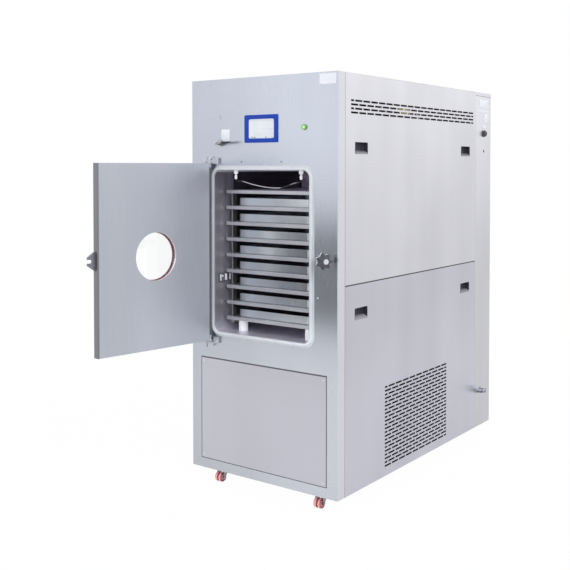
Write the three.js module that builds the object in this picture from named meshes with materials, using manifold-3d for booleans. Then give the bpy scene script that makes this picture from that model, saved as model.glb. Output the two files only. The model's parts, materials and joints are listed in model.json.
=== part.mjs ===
// Pilot freeze dryer: a steel cabinet on casters, with a square shelf chamber behind a
// side-hung door, a touch panel above it and the refrigeration and vacuum plant behind and below.
//
// Millimetres. While the machine is drawn, x runs to the right from the middle of the cabinet,
// y runs back from the face of the front panel and z runs up from the underside of the body.
// The last lines move the whole group so that it stands on z = 0.

import * as THREE from 'three';
import { mergeVertices } from 'three/addons/utils/BufferGeometryUtils.js';
import Module from 'manifold-3d';

const wasm = await Module();
wasm.setup();

// ---------------------------------------------------------------- driving dimensions

const seat = 0.3; // gap left between pieces that touch
const running = 0.3; // radial gap of a turning fit
const sheet = 2; // cabinet sheet

const cabinet = { width: 770, depth: 1443, height: 1700 };
const fold = { return: 15, bend: 4, frontWrap: 50 }; // inward returns, bend radius, front panel's side wrap
const splitHeight = 848; // joint between the lower and upper side panels
const stripDepth = 181; // rear cover's side return, which carries the service fittings
const capSkirt = 17; // top panel's skirt above the service strip

const bar = 30; // frame bar, square
const weld = 0.5; // step between bars that meet
const midPost = 650; // y of the middle posts

const opening = { halfWidth: 258, halfHeight: 355, height: 960, radius: 36 }; // inside of the chamber
const shell = { wall: 6, depth: 650, rim: 4, rail: 65 }; // rail: middle of a carrying rail from either end
const lip = { width: 20, cover: 6, stand: 12, round: 4 }; // silicone gasket on the rim

// The door reaches past the opening by `over`, across and up, and its middle lies `shift` from the opening's.
const door = { over: [22, 30], thick: 28, shift: [-6, -5], gap: 0.5, open: 100 };
const hinge = {
  inset: 7, pin: 6, armThick: 8, armGap: 5, eye: 9, base: [40, 26], baseThick: 10, bury: 30, baseIn: 42,
  upper: { drop: 8, tail: 13, rib: 16 }, // base below the arm, pin end past the arm, rib on the arm
  lower: { drop: -4, tail: 16, rib: 0 },
};
const porthole = { sight: 100, step: 8, seal: 3, glass: 12, glassRadius: 109, ringRadius: 128, ringThick: 5 };
const lug = { reach: 34, root: 80, tip: 32, thick: 10, notch: 15, setBack: 14 };

const clamp = {
  beyond: 21, y: 16, drop: 1, swing: 62, eye: 10, eyeHalf: 4.6, cheek: 3.5, pin: 4, base: [26, 34], baseThick: 5,
};
const bolt = { radius: 4.5, length: 76 };
const knob = {
  from: 52, washer: 37, washerThick: 2.5, hub: 14, hubLength: 5,
  radius: 35, lobe: 10, lobes: 7, thick: 20, edge: 3, capRadius: 10.5, cap: 4,
};

const shelf = { count: 9, fromRoof: 92, pitch: 69.4, thick: 15, clear: 10, front: 72, rear: 33 };
const tray = { width: 376, depth: 500, height: 35, wall: 1.5, setBack: 12, radius: 12 };
const rack = { flat: 6, width: 30, in: 29, front: 20, rear: 27, rail: 11 }; // set in from the shelf's edges
const foot = { radius: 20, in: 70, back: 32 };
const gland = { x: 173, y: 48, nut: 9.5, nutHeight: 20, tail: 8, tailEnd: 4, tailHeight: 24 };
const lead = { radius: 2, sides: 8, steps: 40 };

const touch = {
  x: 3, below: 217, size: [175, 116], proud: 3.5, window: [133, 82], shift: 2, sill: 1.2,
  cut: [150, 96], behind: 38, radius: 5,
};
const button = { x: 222.5, below: 216, radius: 11.5, proud: 4, stem: 6, stemLength: 26, travel: 2.5 };
const airValve = {
  x: -215, below: 273, base: 15, body: 10, length: 26, stem: 4, stub: 6.5, outlet: 21, lever: 93,
};
const cover = { in: 56, from: 45, to: 487, gap: 3, rebate: 12 };

const pocket = { length: 98, height: 48, deep: 24, wall: 2, front: 173, rear: 117.5, below: [121, 300] };
const slot = { length: 50, short: 19, height: 5, gap: 12 };
const topVents = { from: 95, rear: 32, rows: 4, below: 158, pitch: 16.2 };
const sideGrille = { from: 369, to: 946, rows: 22, level: 43, pitch: 16.2 };

const drain = {
  rear: 161, level: 191, hex: 15, hexLong: 10, barrel: 12, barrelTo: 35, barb: 7, ridge: 5, reach: 53,
  stemX: 22, stem: 4, lever: [34, 11, 3],
};
const mains = { rear: 86, below: 207, nut: 17.5, nutLong: 7, dome: 13, domeTo: 15, bore: 5 };
const spyHole = { rear: 83, below: 297, width: 12, height: 14 };

const caster = {
  in: 121, inset: 73, plate: [75, 62, 3], height: 66, wheel: 21, tread: 16, trail: 24, axle: 4, sides: 16,
};
const casterPart = { leg: 3, legGap: 1.6, crown: 20, hub: 9, boss: 16.8, web: 4, groove: 2.5, grooveDeep: 4 };

const trap = { radius: 190, behind: 70, length: 480, above: 125, neck: 64, port: 55, saddles: [95, 395] };
const plant = {
  bed: [[-290, 130], [70, 1270]], bedThick: 6, foot: 40, can: 105, canAt: [-150, 960], canHeight: 400,
  pumpAt: [-40, 110], motor: 70, motorLength: 190, pumpBlock: [150, 180, 190], axisUp: 120,
};

// ---------------------------------------------------------------- finishes

const finish = {
  brushed: new THREE.MeshStandardMaterial({ color: 0xc6c8ce, metalness: 0.9, roughness: 0.34 }),
  polished: new THREE.MeshStandardMaterial({ color: 0xb9bac0, metalness: 0.95, roughness: 0.18 }),
  steel: new THREE.MeshStandardMaterial({ color: 0xa9abb1, metalness: 0.9, roughness: 0.3 }),
  frame: new THREE.MeshStandardMaterial({ color: 0x8d9096, metalness: 0.7, roughness: 0.5 }),
  silicone: new THREE.MeshStandardMaterial({ color: 0xdcdee4, metalness: 0, roughness: 0.45 }),
  red: new THREE.MeshStandardMaterial({ color: 0xd8434a, metalness: 0, roughness: 0.4 }),
  glass: new THREE.MeshStandardMaterial({
    color: 0xe8f0f0, metalness: 0, roughness: 0.05, transparent: true, opacity: 0.3,
  }),
  nylon: new THREE.MeshStandardMaterial({ color: 0xf0f0f2, metalness: 0, roughness: 0.4 }),
  black: new THREE.MeshStandardMaterial({ color: 0x26282d, metalness: 0, roughness: 0.5 }),
  blue: new THREE.MeshStandardMaterial({ color: 0x2648b4, metalness: 0, roughness: 0.4 }),
  green: new THREE.MeshStandardMaterial({ color: 0x8fdc6c, metalness: 0, roughness: 0.3 }),
  grey: new THREE.MeshStandardMaterial({ color: 0x9a9ba2, metalness: 0, roughness: 0.5 }),
  paint: new THREE.MeshStandardMaterial({ color: 0x2f3338, metalness: 0.2, roughness: 0.5 }),
};

// ---------------------------------------------------------------- solids

/** A closed geometry as a solid with its faces turned outwards. */
function solid(geometry) {
  const bare = geometry.clone();
  bare.deleteAttribute('normal');
  bare.deleteAttribute('uv');
  const merged = mergeVertices(bare);
  const p = merged.attributes.position;
  const corners = merged.index.array;
  const kept = [];
  for (let i = 0; i < corners.length; i += 3) {
    const [k, l, m] = [corners[i], corners[i + 1], corners[i + 2]];
    if (k !== l && l !== m && m !== k) kept.push(k, l, m);
  }
  const triangles = Uint32Array.from(kept);
  const [a, b, c] = [new THREE.Vector3(), new THREE.Vector3(), new THREE.Vector3()];
  let volume = 0;
  for (let i = 0; i < triangles.length; i += 3) {
    a.fromBufferAttribute(p, triangles[i]);
    b.fromBufferAttribute(p, triangles[i + 1]);
    c.fromBufferAttribute(p, triangles[i + 2]);
    volume += a.dot(b.cross(c));
  }
  if (volume < 0) triangles.reverse();
  const mesh = new wasm.Mesh({ numProp: 3, vertProperties: Float32Array.from(p.array), triVerts: triangles });
  return new wasm.Manifold(mesh);
}

/** The solid's surface as a geometry for a mesh. */
function surface(body) {
  const { vertProperties, triVerts } = body.getMesh();
  const geometry = new THREE.BufferGeometry();
  geometry.setAttribute('position', new THREE.BufferAttribute(Float32Array.from(vertProperties), 3));
  geometry.setIndex(new THREE.BufferAttribute(Uint32Array.from(triVerts), 1));
  geometry.computeVertexNormals();
  return geometry;
}

/** A box between three pairs of limits. */
function block([x0, x1], [y0, y1], [z0, z1]) {
  const geometry = new THREE.BoxGeometry(x1 - x0, y1 - y0, z1 - z0);
  return solid(geometry.translate((x0 + x1) / 2, (y0 + y1) / 2, (z0 + z1) / 2));
}

/** A box given by its middle and its size. */
function brick([x, y, z], [w, d, h]) {
  return block([x - w / 2, x + w / 2], [y - d / 2, y + d / 2], [z - h / 2, z + h / 2]);
}

/** A flat shape carried along z. */
function alongZ(shape, [from, to], curveSegments = 5) {
  const geometry = new THREE.ExtrudeGeometry(shape, { depth: to - from, bevelEnabled: false, curveSegments });
  return solid(geometry.translate(0, 0, from));
}

/** A shape drawn in x and z, carried along y. */
function alongY(shape, [from, to], curveSegments = 5) {
  const geometry = new THREE.ExtrudeGeometry(shape, { depth: to - from, bevelEnabled: false, curveSegments });
  return solid(geometry.rotateX(Math.PI / 2).translate(0, to, 0));
}

/** A shape drawn in y and z, carried along x. */
function alongX(shape, [from, to], curveSegments = 5) {
  const geometry = new THREE.ExtrudeGeometry(shape, { depth: to - from, bevelEnabled: false, curveSegments });
  return solid(geometry.rotateX(Math.PI / 2).rotateZ(Math.PI / 2).translate(from, 0, 0));
}

/** A round bar or cone along an axis; the middle is given in the other two, in x, y, z order. */
function rod(axis, [from, to], [u, v], radius, sides = 20, endRadius = radius) {
  const geometry = new THREE.CylinderGeometry(endRadius, radius, to - from, sides);
  const middle = (from + to) / 2;
  if (axis === 'x') geometry.rotateZ(-Math.PI / 2).translate(middle, u, v);
  if (axis === 'y') geometry.translate(u, middle, v);
  if (axis === 'z') geometry.rotateX(Math.PI / 2).translate(u, v, middle);
  return solid(geometry);
}

/** A closed profile of [radius, height] points turned round an axis through the given middle. */
function turned(profile, axis, [x, y, z], sides = 24) {
  const onAxis = profile[0][0] === 0;
  const points = (onAxis ? profile : [...profile, profile[0]]).map(([r, h]) => new THREE.Vector2(r, h));
  const geometry = new THREE.LatheGeometry(points, sides);
  if (axis === 'x') geometry.rotateZ(-Math.PI / 2);
  if (axis === 'z') geometry.rotateX(Math.PI / 2);
  return solid(geometry.translate(x, y, z));
}

/** A rectangle with rounded corners round a middle point. */
function roundedRect([u, v], [halfU, halfV], radius, path = new THREE.Shape()) {
  const r = Math.min(radius, halfU, halfV);
  path.absarc(u + halfU - r, v + halfV - r, r, 0, Math.PI / 2, false);
  path.absarc(u - halfU + r, v + halfV - r, r, Math.PI / 2, Math.PI, false);
  path.absarc(u - halfU + r, v - halfV + r, r, Math.PI, 1.5 * Math.PI, false);
  path.absarc(u + halfU - r, v - halfV + r, r, 1.5 * Math.PI, 2 * Math.PI, false);
  return path;
}

/** A straight-sided outline through the points. */
function outline(points) {
  return new THREE.Shape(points.map(([u, v]) => new THREE.Vector2(u, v)));
}

const join = (bodies) => bodies.reduce((whole, piece) => whole.add(piece));
const cut = (body, tools) => tools.reduce((rest, tool) => rest.subtract(tool), body);

const machine = new THREE.Group();

/** Adds one piece to a group under its name. */
function piece(name, body, material, parent = machine) {
  const mesh = new THREE.Mesh(surface(body), material);
  mesh.name = name;
  parent.add(mesh);
  return mesh;
}

// ---------------------------------------------------------------- values worked out from the driving ones

const side = cabinet.width / 2;
const sideInside = side - sheet;
const frameSide = sideInside + sheet - fold.return - seat; // outer face of the frame
const frameFront = sheet + seat;
const frameRear = cabinet.depth - sheet - seat;
const frameBase = sheet + seat;
const frameTop = cabinet.height - sheet - seat;
const stripFront = cabinet.depth - stripDepth;
const accessHalf = side - cover.in;
const pocketY = [pocket.front, stripFront - pocket.rear];
const pocketZ = [splitHeight - pocket.below[0], cabinet.height - pocket.below[1]];
const casterX = side - caster.in;
const belowTop = (drop) => cabinet.height - drop;
const rim = { halfWidth: opening.halfWidth + shell.wall, halfHeight: opening.halfHeight + shell.wall };
const rimRadius = opening.radius + shell.wall;
const chamberFloor = opening.height - opening.halfHeight;
const chamberRoof = opening.height + opening.halfHeight;
const shellBase = opening.height - rim.halfHeight;
const railTopBase = frameBase + bar - 2 * weld; // upper face of the frame's base rails
const shellRails = [shell.rail, shell.depth - shell.rail];
const trapY = [shell.depth + trap.behind, shell.depth + trap.behind + trap.length];
const trapLevel = opening.height + trap.above;
const trapSaddles = trap.saddles.map((y) => trapY[0] + y);
const shelfHalf = opening.halfWidth - shelf.clear;
const shelfY = [shelf.front, shell.depth - shelf.rear];
const rackX = shelfHalf - rack.in;
const rackY = [shelfY[0] + rack.front, shelfY[1] - rack.rear];
const footAt = [shelfHalf - foot.in, shelfY[0] + foot.back];
const doorHalf = [opening.halfWidth + door.over[0], opening.halfHeight + door.over[1]];
const windowAt = [door.shift[0], opening.height + door.shift[1]]; // middle of the door and of its window
const doorX = [windowAt[0] - doorHalf[0], windowAt[0] + doorHalf[0]];
const doorZ = [windowAt[1] - doorHalf[1], windowAt[1] + doorHalf[1]];
const doorFace = -lip.stand - door.gap; // inner face
const doorY = [doorFace - door.thick, doorFace];
const clampAt = [doorX[1] + clamp.beyond, windowAt[1] - clamp.drop];

// ---------------------------------------------------------------- cabinet

/** Welded frame of square bar: a front frame, two side frames and cross rails. */
function frame() {
  const railZ = [shellBase - seat - bar, shellBase - seat];
  const innerX = [-frameSide + bar, frameSide - bar];
  const rebateX = [-accessHalf + cover.rebate, accessHalf - cover.rebate];
  const rearRail = frameRear - bar / 2;
  const joint = frameFront + bar / 2;
  const front = cut(block([-frameSide, frameSide], [frameFront, frameFront + bar], [frameBase, frameTop]), [
    block(rebateX, [0, 2 * bar], [cover.from + cover.rebate, cover.to - cover.rebate]),
    block(innerX, [0, 2 * bar], [cover.to + bar, frameTop - bar]),
  ]);
  const bays = [
    [frameFront + bar, midPost - bar / 2],
    [midPost + bar / 2, stripFront - bar / 2],
    [stripFront + bar / 2, frameRear - bar],
  ];
  const rows = [[frameBase + bar, splitHeight - bar / 2], [splitHeight + bar / 2, frameTop - bar]];
  const sideX = [frameSide - bar + weld, frameSide - weld];
  const holes = bays.flatMap((y) => rows.map((z) => block([0, side], y, z)));
  holes[0] = block([0, side], bays[0], [rows[0][0], railZ[0]]);
  holes.push(block([0, side], bays[0], [railZ[1] - weld, rows[0][1]]));
  const sideFrame = cut(block(sideX, [joint, frameRear], [frameBase + weld, frameTop - weld]), holes);
  const across = [-frameSide + bar / 2, frameSide - bar / 2];
  const rail = (y, z) => block(across, [y - bar / 2 + 2 * weld, y + bar / 2 - 2 * weld], z);
  const base = [frameBase + 2 * weld, railTopBase];
  const middle = [splitHeight - bar / 2 + weld, splitHeight + bar / 2];
  return join([
    front,
    sideFrame,
    sideFrame.mirror([1, 0, 0]),
    rail(midPost, base),
    rail(stripFront, base),
    rail(rearRail, base),
    rail(rearRail, [frameTop - bar + 2 * weld, frameTop - 2 * weld]),
    ...shellRails.map((y) => rail(y, railZ)),
    ...trapSaddles.map((y) => rail(y, middle)),
  ]);
}

/** Floor pan under the frame, with the four caster plates welded below it. */
function floorPan() {
  const [w, d, t] = caster.plate;
  const plates = [-casterX, casterX].flatMap((x) => [caster.inset, cabinet.depth - caster.inset].map(
    (y) => block([x - w / 2, x + w / 2], [y - d / 2, y + d / 2], [-t, sheet / 2]),
  ));
  return join([block([-frameSide, frameSide], [frameFront, frameRear], [0, sheet]), ...plates]);
}

/** Front panel: one sheet folded back round both edges, with inward returns. */
function frontPanel() {
  const { bend, frontWrap } = fold;
  const inner = bend - sheet;
  const u = new THREE.Shape();
  u.moveTo(-side + fold.return, frontWrap);
  u.lineTo(-side, frontWrap);
  u.absarc(-side + bend, bend, bend, Math.PI, 1.5 * Math.PI, false);
  u.absarc(side - bend, bend, bend, 1.5 * Math.PI, 2 * Math.PI, false);
  u.lineTo(side, frontWrap);
  u.lineTo(side - fold.return, frontWrap);
  u.lineTo(side - fold.return, frontWrap - sheet);
  u.lineTo(sideInside, frontWrap - sheet);
  u.absarc(side - bend, bend, inner, 2 * Math.PI, 1.5 * Math.PI, true);
  u.absarc(-side + bend, bend, inner, 1.5 * Math.PI, Math.PI, true);
  u.lineTo(-sideInside, frontWrap - sheet);
  u.lineTo(-side + fold.return, frontWrap - sheet);
  const through = [-1, sheet + 1];
  const mouth = roundedRect([0, opening.height], [rim.halfWidth + seat, rim.halfHeight + seat], rimRadius);
  const access = outline([
    [-accessHalf - cover.gap, cover.from - cover.gap],
    [accessHalf + cover.gap, cover.from - cover.gap],
    [accessHalf + cover.gap, cover.to + cover.gap],
    [-accessHalf - cover.gap, cover.to + cover.gap],
  ]);
  return cut(alongZ(u, [0, cabinet.height], 2), [
    alongY(mouth, through, 6),
    alongY(access, through),
    block([-side - 1, side + 1], [sheet - seat, frontWrap + 1], [frameTop, cabinet.height + 1]),
    brick([touch.x, sheet / 2, belowTop(touch.below)], [touch.cut[0], 2 * sheet, touch.cut[1]]),
    rod('y', through, [button.x, belowTop(button.below)], button.stem + running, 16),
  ]);
}

/** Lower access cover: a flat pan that sits flush in its opening on the frame's rebate. */
function accessCover() {
  return block([-accessHalf, accessHalf], [0, sheet], [cover.from, cover.to]);
}

/** Slots of a vent field on the right side, as tools to cut with; every second row starts with a short one. */
function ventSlots([from, to], level, { rows, pitch }, shortFirst) {
  const tools = [];
  for (let row = 0; row < rows; row++) {
    const z = level + row * pitch;
    let y = from;
    let short = row % 2 === shortFirst;
    while (y + slot.short <= to) {
      const length = Math.min(short ? slot.short : slot.length, to - y);
      tools.push(block([sideInside - 1, side + 1], [y, y + length], [z - slot.height / 2, z + slot.height / 2]));
      y += length + slot.gap;
      short = false;
    }
  }
  return tools;
}

/** The pressed pocket of a pull handle: a shallow well that is open on the outside. */
function pullPocket(y, z) {
  const [length, height] = [pocket.length + 2 * pocket.wall, pocket.height + 2 * pocket.wall];
  const outer = brick([side - pocket.deep / 2, y, z], [pocket.deep, length, height]);
  const back = side - pocket.deep + pocket.wall;
  const slope = pocket.height / 4; // the lower wall slopes down towards the mouth
  const well = outline([
    [side + 1, z - pocket.height / 2],
    [side + 1, z + pocket.height / 2],
    [back, z + pocket.height / 2],
    [back, z - pocket.height / 2 + slope],
    [sideInside, z - pocket.height / 2],
  ]);
  return { outer, well: alongY(well, [y - pocket.length / 2, y + pocket.length / 2]) };
}

/** A side panel as a shallow pan, right-hand; a left-hand one is its mirror. */
function sidePanel([from, to], rearEdge, pockets, vents = []) {
  const y = [fold.frontWrap + seat, rearEdge - seat];
  const pan = cut(block([side - fold.return, side], y, [from, to]), [
    block([side - fold.return - 1, sideInside], [y[0] + sheet, y[1] - sheet], [from + sheet, to - sheet]),
  ]);
  const wells = pockets.map(([py, pz]) => pullPocket(py, pz));
  return cut(join([pan, ...wells.map((w) => w.outer)]), [...wells.map((w) => w.well), ...vents]);
}

/** Rear cover: one sheet folded forward at both sides; its right return carries the service fittings. */
function rearCover() {
  const top = cabinet.height - capSkirt - seat;
  const outer = block([-side, side], [stripFront + seat, cabinet.depth], [0, top]);
  const wellY = [stripFront + seat + sheet, cabinet.depth - sheet];
  const hollow = block([-sideInside, sideInside], wellY, [-1, top + 1]);
  const mouthX = [-side + fold.return, side - fold.return];
  const mouth = block(mouthX, [stripFront - 1, stripFront + 5], [-1, top + 1]);
  const spyAt = [cabinet.depth - spyHole.rear, belowTop(spyHole.below)];
  const spy = roundedRect(spyAt, [spyHole.width / 2, spyHole.height / 2], spyHole.width / 2);
  return cut(outer, [hollow, mouth, alongX(spy, [sideInside - 1, side + 1], 4)]);
}

/** Top panel: a flat sheet with a short skirt round the rear. */
function topPanel() {
  const top = cabinet.height;
  const flat = block([-side, side], [sheet + seat, cabinet.depth], [top - sheet, top]);
  const skirtZ = [top - capSkirt - 1, top - sheet + 0.5];
  const skirt = cut(block([-side, side], [stripFront + seat, cabinet.depth], [top - capSkirt, top]), [
    block([-sideInside, sideInside], [stripFront - 1, cabinet.depth - sheet], skirtZ),
  ]);
  return join([flat, skirt]);
}

piece('frame', frame(), finish.frame);
piece('floor_pan', floorPan(), finish.brushed);
piece('front_panel', frontPanel(), finish.brushed);
piece('access_cover', accessCover(), finish.brushed);
const upper = [splitHeight + seat / 2, cabinet.height - sheet - seat];
const lower = [0, splitHeight - seat / 2];
const pocketsAt = (z) => pocketY.map((y) => [y, z]);
const upperSlots = ventSlots([topVents.from, stripFront - topVents.rear], belowTop(topVents.below), topVents, 1);
const lowerSlots = ventSlots([sideGrille.from, sideGrille.to], sideGrille.level, sideGrille, 1);
piece('right_upper_panel', sidePanel(upper, stripFront, pocketsAt(pocketZ[1]), upperSlots), finish.brushed);
piece('right_lower_panel', sidePanel(lower, stripFront, pocketsAt(pocketZ[0]), lowerSlots), finish.brushed);
const leftPanel = sidePanel([0, upper[1]], stripFront, pocketZ.flatMap(pocketsAt)).mirror([1, 0, 0]);
piece('left_panel', leftPanel, finish.brushed);
piece('rear_cover', rearCover(), finish.brushed);
piece('top_panel', topPanel(), finish.brushed);

// ---------------------------------------------------------------- chamber

/** Welded chamber shell, open at the front, with a rim that stands through the front panel and a rear port. */
function chamberShell() {
  const outer = roundedRect([0, opening.height], [rim.halfWidth, rim.halfHeight], rimRadius);
  const inner = roundedRect([0, opening.height], [opening.halfWidth, opening.halfHeight], opening.radius);
  return cut(alongY(outer, [-shell.rim, shell.depth], 6), [
    alongY(inner, [-shell.rim - 1, shell.depth - shell.wall], 6),
    rod('y', [shell.depth - shell.wall - 1, shell.depth + 1], [0, trapLevel], trap.port, 24),
  ]);
}

/** White silicone gasket: a rounded lip with a groove that grips the chamber's rim. */
function gasket() {
  const inset = lip.round;
  const ring = (half, r, grow) => roundedRect([0, opening.height], half.map((h) => h + grow), r + grow);
  const half = [rim.halfWidth, rim.halfHeight];
  const outerGrow = lip.width - shell.wall - lip.cover;
  const shape = ring(half, rimRadius, outerGrow);
  shape.holes.push(ring(half, rimRadius, outerGrow - lip.width));
  const geometry = new THREE.ExtrudeGeometry(shape, {
    depth: lip.stand, bevelThickness: inset, bevelSize: inset, bevelOffset: -inset, bevelSegments: 2,
    curveSegments: 4,
  });
  geometry.rotateX(Math.PI / 2).translate(0, lip.stand + inset - lip.stand, 0);
  const groove = ring(half, rimRadius, seat);
  groove.holes.push(ring(half, rimRadius, -shell.wall - seat));
  return cut(solid(geometry), [
    alongY(groove, [-shell.rim - seat, lip.stand], 6),
    block([-side, side], [-seat, 2 * lip.stand], [0, cabinet.height]),
  ]);
}

piece('chamber', chamberShell(), finish.polished);
piece('chamber_gasket', gasket(), finish.silicone);

// ---------------------------------------------------------------- shelf stack

const topShelf = chamberRoof - shelf.fromRoof;
const shelfTop = (i) => topShelf - shelf.pitch * i;
const lowestShelf = shelfTop(shelf.count - 1);
const railTop = lowestShelf - shelf.thick - seat;

/** One hollow heated shelf, drawn as its outer form, with four slots for the rack's flats. */
function heatedShelf(top) {
  const plate = block([-shelfHalf, shelfHalf], shelfY, [top - shelf.thick, top]);
  const slots = [-rackX, rackX].flatMap((x) => rackY.map((y) => brick(
    [x, y, top - shelf.thick / 2],
    [rack.flat + 2 * seat, rack.width + 2 * seat, shelf.thick + 2],
  )));
  return cut(plate, slots);
}

/** Rack: four upright flats on two side rails and a rear tie; the rear pair stands on the chamber floor. */
function shelfRack() {
  const ends = [rackY[0] - rack.width / 2, rackY[1] + rack.width / 2];
  const railZ = [railTop - rack.rail, railTop];
  const parts = [block([-rackX, rackX], [ends[1] - rack.width, ends[1] - rack.width + rack.flat], railZ)];
  for (const x of [-rackX, rackX]) {
    const width = [x - rack.flat / 2, x + rack.flat / 2];
    parts.push(block(width, [ends[0], ends[0] + rack.width], [railZ[0], topShelf]));
    parts.push(block(width, [ends[1] - rack.width, ends[1]], [chamberFloor + seat, topShelf]));
    parts.push(block(width, ends, railZ));
  }
  return join(parts);
}

/** One tray: a thin pan with rounded corners. */
function dryingTray(base) {
  const y = shelfY[0] + tray.setBack + tray.depth / 2;
  const outer = roundedRect([0, y], [tray.width / 2, tray.depth / 2], tray.radius);
  const inside = [tray.width / 2 - tray.wall, tray.depth / 2 - tray.wall];
  const inner = roundedRect([0, y], inside, tray.radius - tray.wall);
  return cut(alongZ(outer, [base, base + tray.height - seat], 3), [
    alongZ(inner, [base + tray.wall, base + tray.height + 1], 3),
  ]);
}

for (let i = 0; i < shelf.count; i++) {
  piece(`shelf_${i + 1}`, heatedShelf(shelfTop(i)), finish.steel);
  if (i > 0) piece(`tray_${i + 1}`, dryingTray(shelfTop(i) + seat), finish.polished);
}
piece('shelf_rack', shelfRack(), finish.steel);
for (const [name, x] of [['foot_left', -footAt[0]], ['foot_right', footAt[0]]]) {
  piece(name, rod('z', [chamberFloor + seat, railTop], [x, footAt[1]], foot.radius, 20), finish.nylon);
}

/** White nylon roof gland: a round nut with a tapered tail. */
function roofGland(x) {
  const nutBase = chamberRoof - seat - gland.nutHeight;
  return join([
    rod('z', [nutBase, chamberRoof - seat], [x, gland.y], gland.nut, 12),
    rod('z', [nutBase - gland.tailHeight, nutBase + 1], [x, gland.y], gland.tailEnd, 10, gland.tail),
  ]);
}
piece('gland_left', roofGland(-gland.x), finish.nylon);
piece('gland_right', roofGland(gland.x), finish.nylon);

// The lead hangs from one gland to the other; the points are its route.
const glandTip = chamberRoof - seat - gland.nutHeight - gland.tailHeight;
const leadRoute = [
  [-gland.x, gland.y, glandTip - seat],
  [-gland.x, gland.y, glandTip - 2],
  [-gland.x + 3, gland.y, glandTip - 6],
  [-gland.x + 12, gland.y + 2, glandTip - 8],
  [-142, 52, 1262.5],
  [-110, 56, 1254],
  [-75, 58, 1246.5],
  [-40, 60, 1240.5],
  [-5, 60, 1236.5],
  [28, 60, 1235],
  [58, 60, 1236.5],
  [86, 58, 1242],
  [112, 56, 1250],
  [134, 53, 1256.5],
  [150, 51, 1258.5],
  [gland.x - 12, gland.y + 2, glandTip - 10],
  [gland.x - 3, gland.y, glandTip - 7],
  [gland.x, gland.y, glandTip - 2],
  [gland.x, gland.y, glandTip - seat],
];

/** The thin lead: a round section carried along its route. */
function roofLead() {
  const section = new THREE.Shape();
  for (let i = 0; i < lead.sides; i++) {
    const turn = (2 * Math.PI * i) / lead.sides;
    const at = [lead.radius * Math.cos(turn), lead.radius * Math.sin(turn)];
    if (i === 0) section.moveTo(...at);
    else section.lineTo(...at);
  }
  const path = new THREE.CatmullRomCurve3(leadRoute.map((p) => new THREE.Vector3(...p)), false, 'centripetal');
  return solid(new THREE.ExtrudeGeometry(section, { steps: lead.steps, extrudePath: path }));
}
piece('roof_lead', roofLead(), finish.grey);

// ---------------------------------------------------------------- door, drawn shut and then swung open

const hingeAxis = [doorX[0] + hinge.inset, (doorY[0] + doorY[1]) / 2];

/** Door leaf: a steel slab with pin holes, a stepped window hole and the latch lug welded to its free edge. */
function doorLeaf() {
  const round = (range, radius) => rod('y', range, windowAt, radius, 36);
  const pinHole = (z) => rod('z', z, hingeAxis, hinge.pin + running, 16);
  return cut(join([block(doorX, doorY, doorZ), latchLug()]), [
    round([doorY[0] - 1, doorY[1] + 1], porthole.sight),
    round([doorY[0] - 1, doorY[1] - porthole.step], porthole.glassRadius + seat),
    pinHole([doorZ[1] - hinge.bury, doorZ[1] + 1]),
    pinHole([doorZ[0] - 1, doorZ[0] + hinge.bury]),
  ]);
}

/** A flat ring round the window's axis. */
function windowRing([y0, y1], inner, outer) {
  return cut(rod('y', [y0, y1], windowAt, outer, 36), [rod('y', [y0 - 1, y1 + 1], windowAt, inner, 36)]);
}

/** Latch lug: a tapered plate on the free edge with an open notch for the swing bolt. */
function latchLug() {
  const [x0, z0] = [doorX[1], clampAt[1]];
  const plate = outline([
    [x0 - 1, z0 - lug.root / 2],
    [x0, z0 - lug.root / 2],
    [x0 + lug.reach, z0 - lug.tip / 2],
    [x0 + lug.reach, z0 + lug.tip / 2],
    [x0, z0 + lug.root / 2],
    [x0 - 1, z0 + lug.root / 2],
  ]);
  const y = [doorFace - lug.setBack - lug.thick, doorFace - lug.setBack];
  return cut(alongY(plate, y), [
    rod('y', [y[0] - 1, y[1] + 1], [clampAt[0], z0], lug.notch / 2, 16),
    brick([clampAt[0] + lug.reach, (y[0] + y[1]) / 2, z0], [2 * lug.reach, lug.thick + 2, lug.notch]),
  ]);
}

const doorSwing = new THREE.Group();
doorSwing.position.set(...hingeAxis, 0);
doorSwing.rotation.z = THREE.MathUtils.degToRad(-door.open);
const doorPieces = new THREE.Group();
doorPieces.position.set(-hingeAxis[0], -hingeAxis[1], 0);
doorSwing.add(doorPieces);
machine.add(doorSwing);

const sealY = doorY[1] - porthole.step - seat;
const glassY = sealY - porthole.seal - seat;
piece('door_leaf', doorLeaf(), finish.brushed, doorPieces);
const seal = windowRing([sealY - porthole.seal, sealY], porthole.sight, porthole.glassRadius);
const pane = rod('y', [glassY - porthole.glass, glassY], windowAt, porthole.glassRadius, 36);
const ringY = [doorY[0] - seat - porthole.ringThick, doorY[0] - seat];
const ring = windowRing(ringY, porthole.sight - 2, porthole.ringRadius);
piece('window_seal', seal, finish.red, doorPieces);
piece('window_glass', pane, finish.glass, doorPieces);
piece('window_ring', ring, finish.steel, doorPieces);

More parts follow.
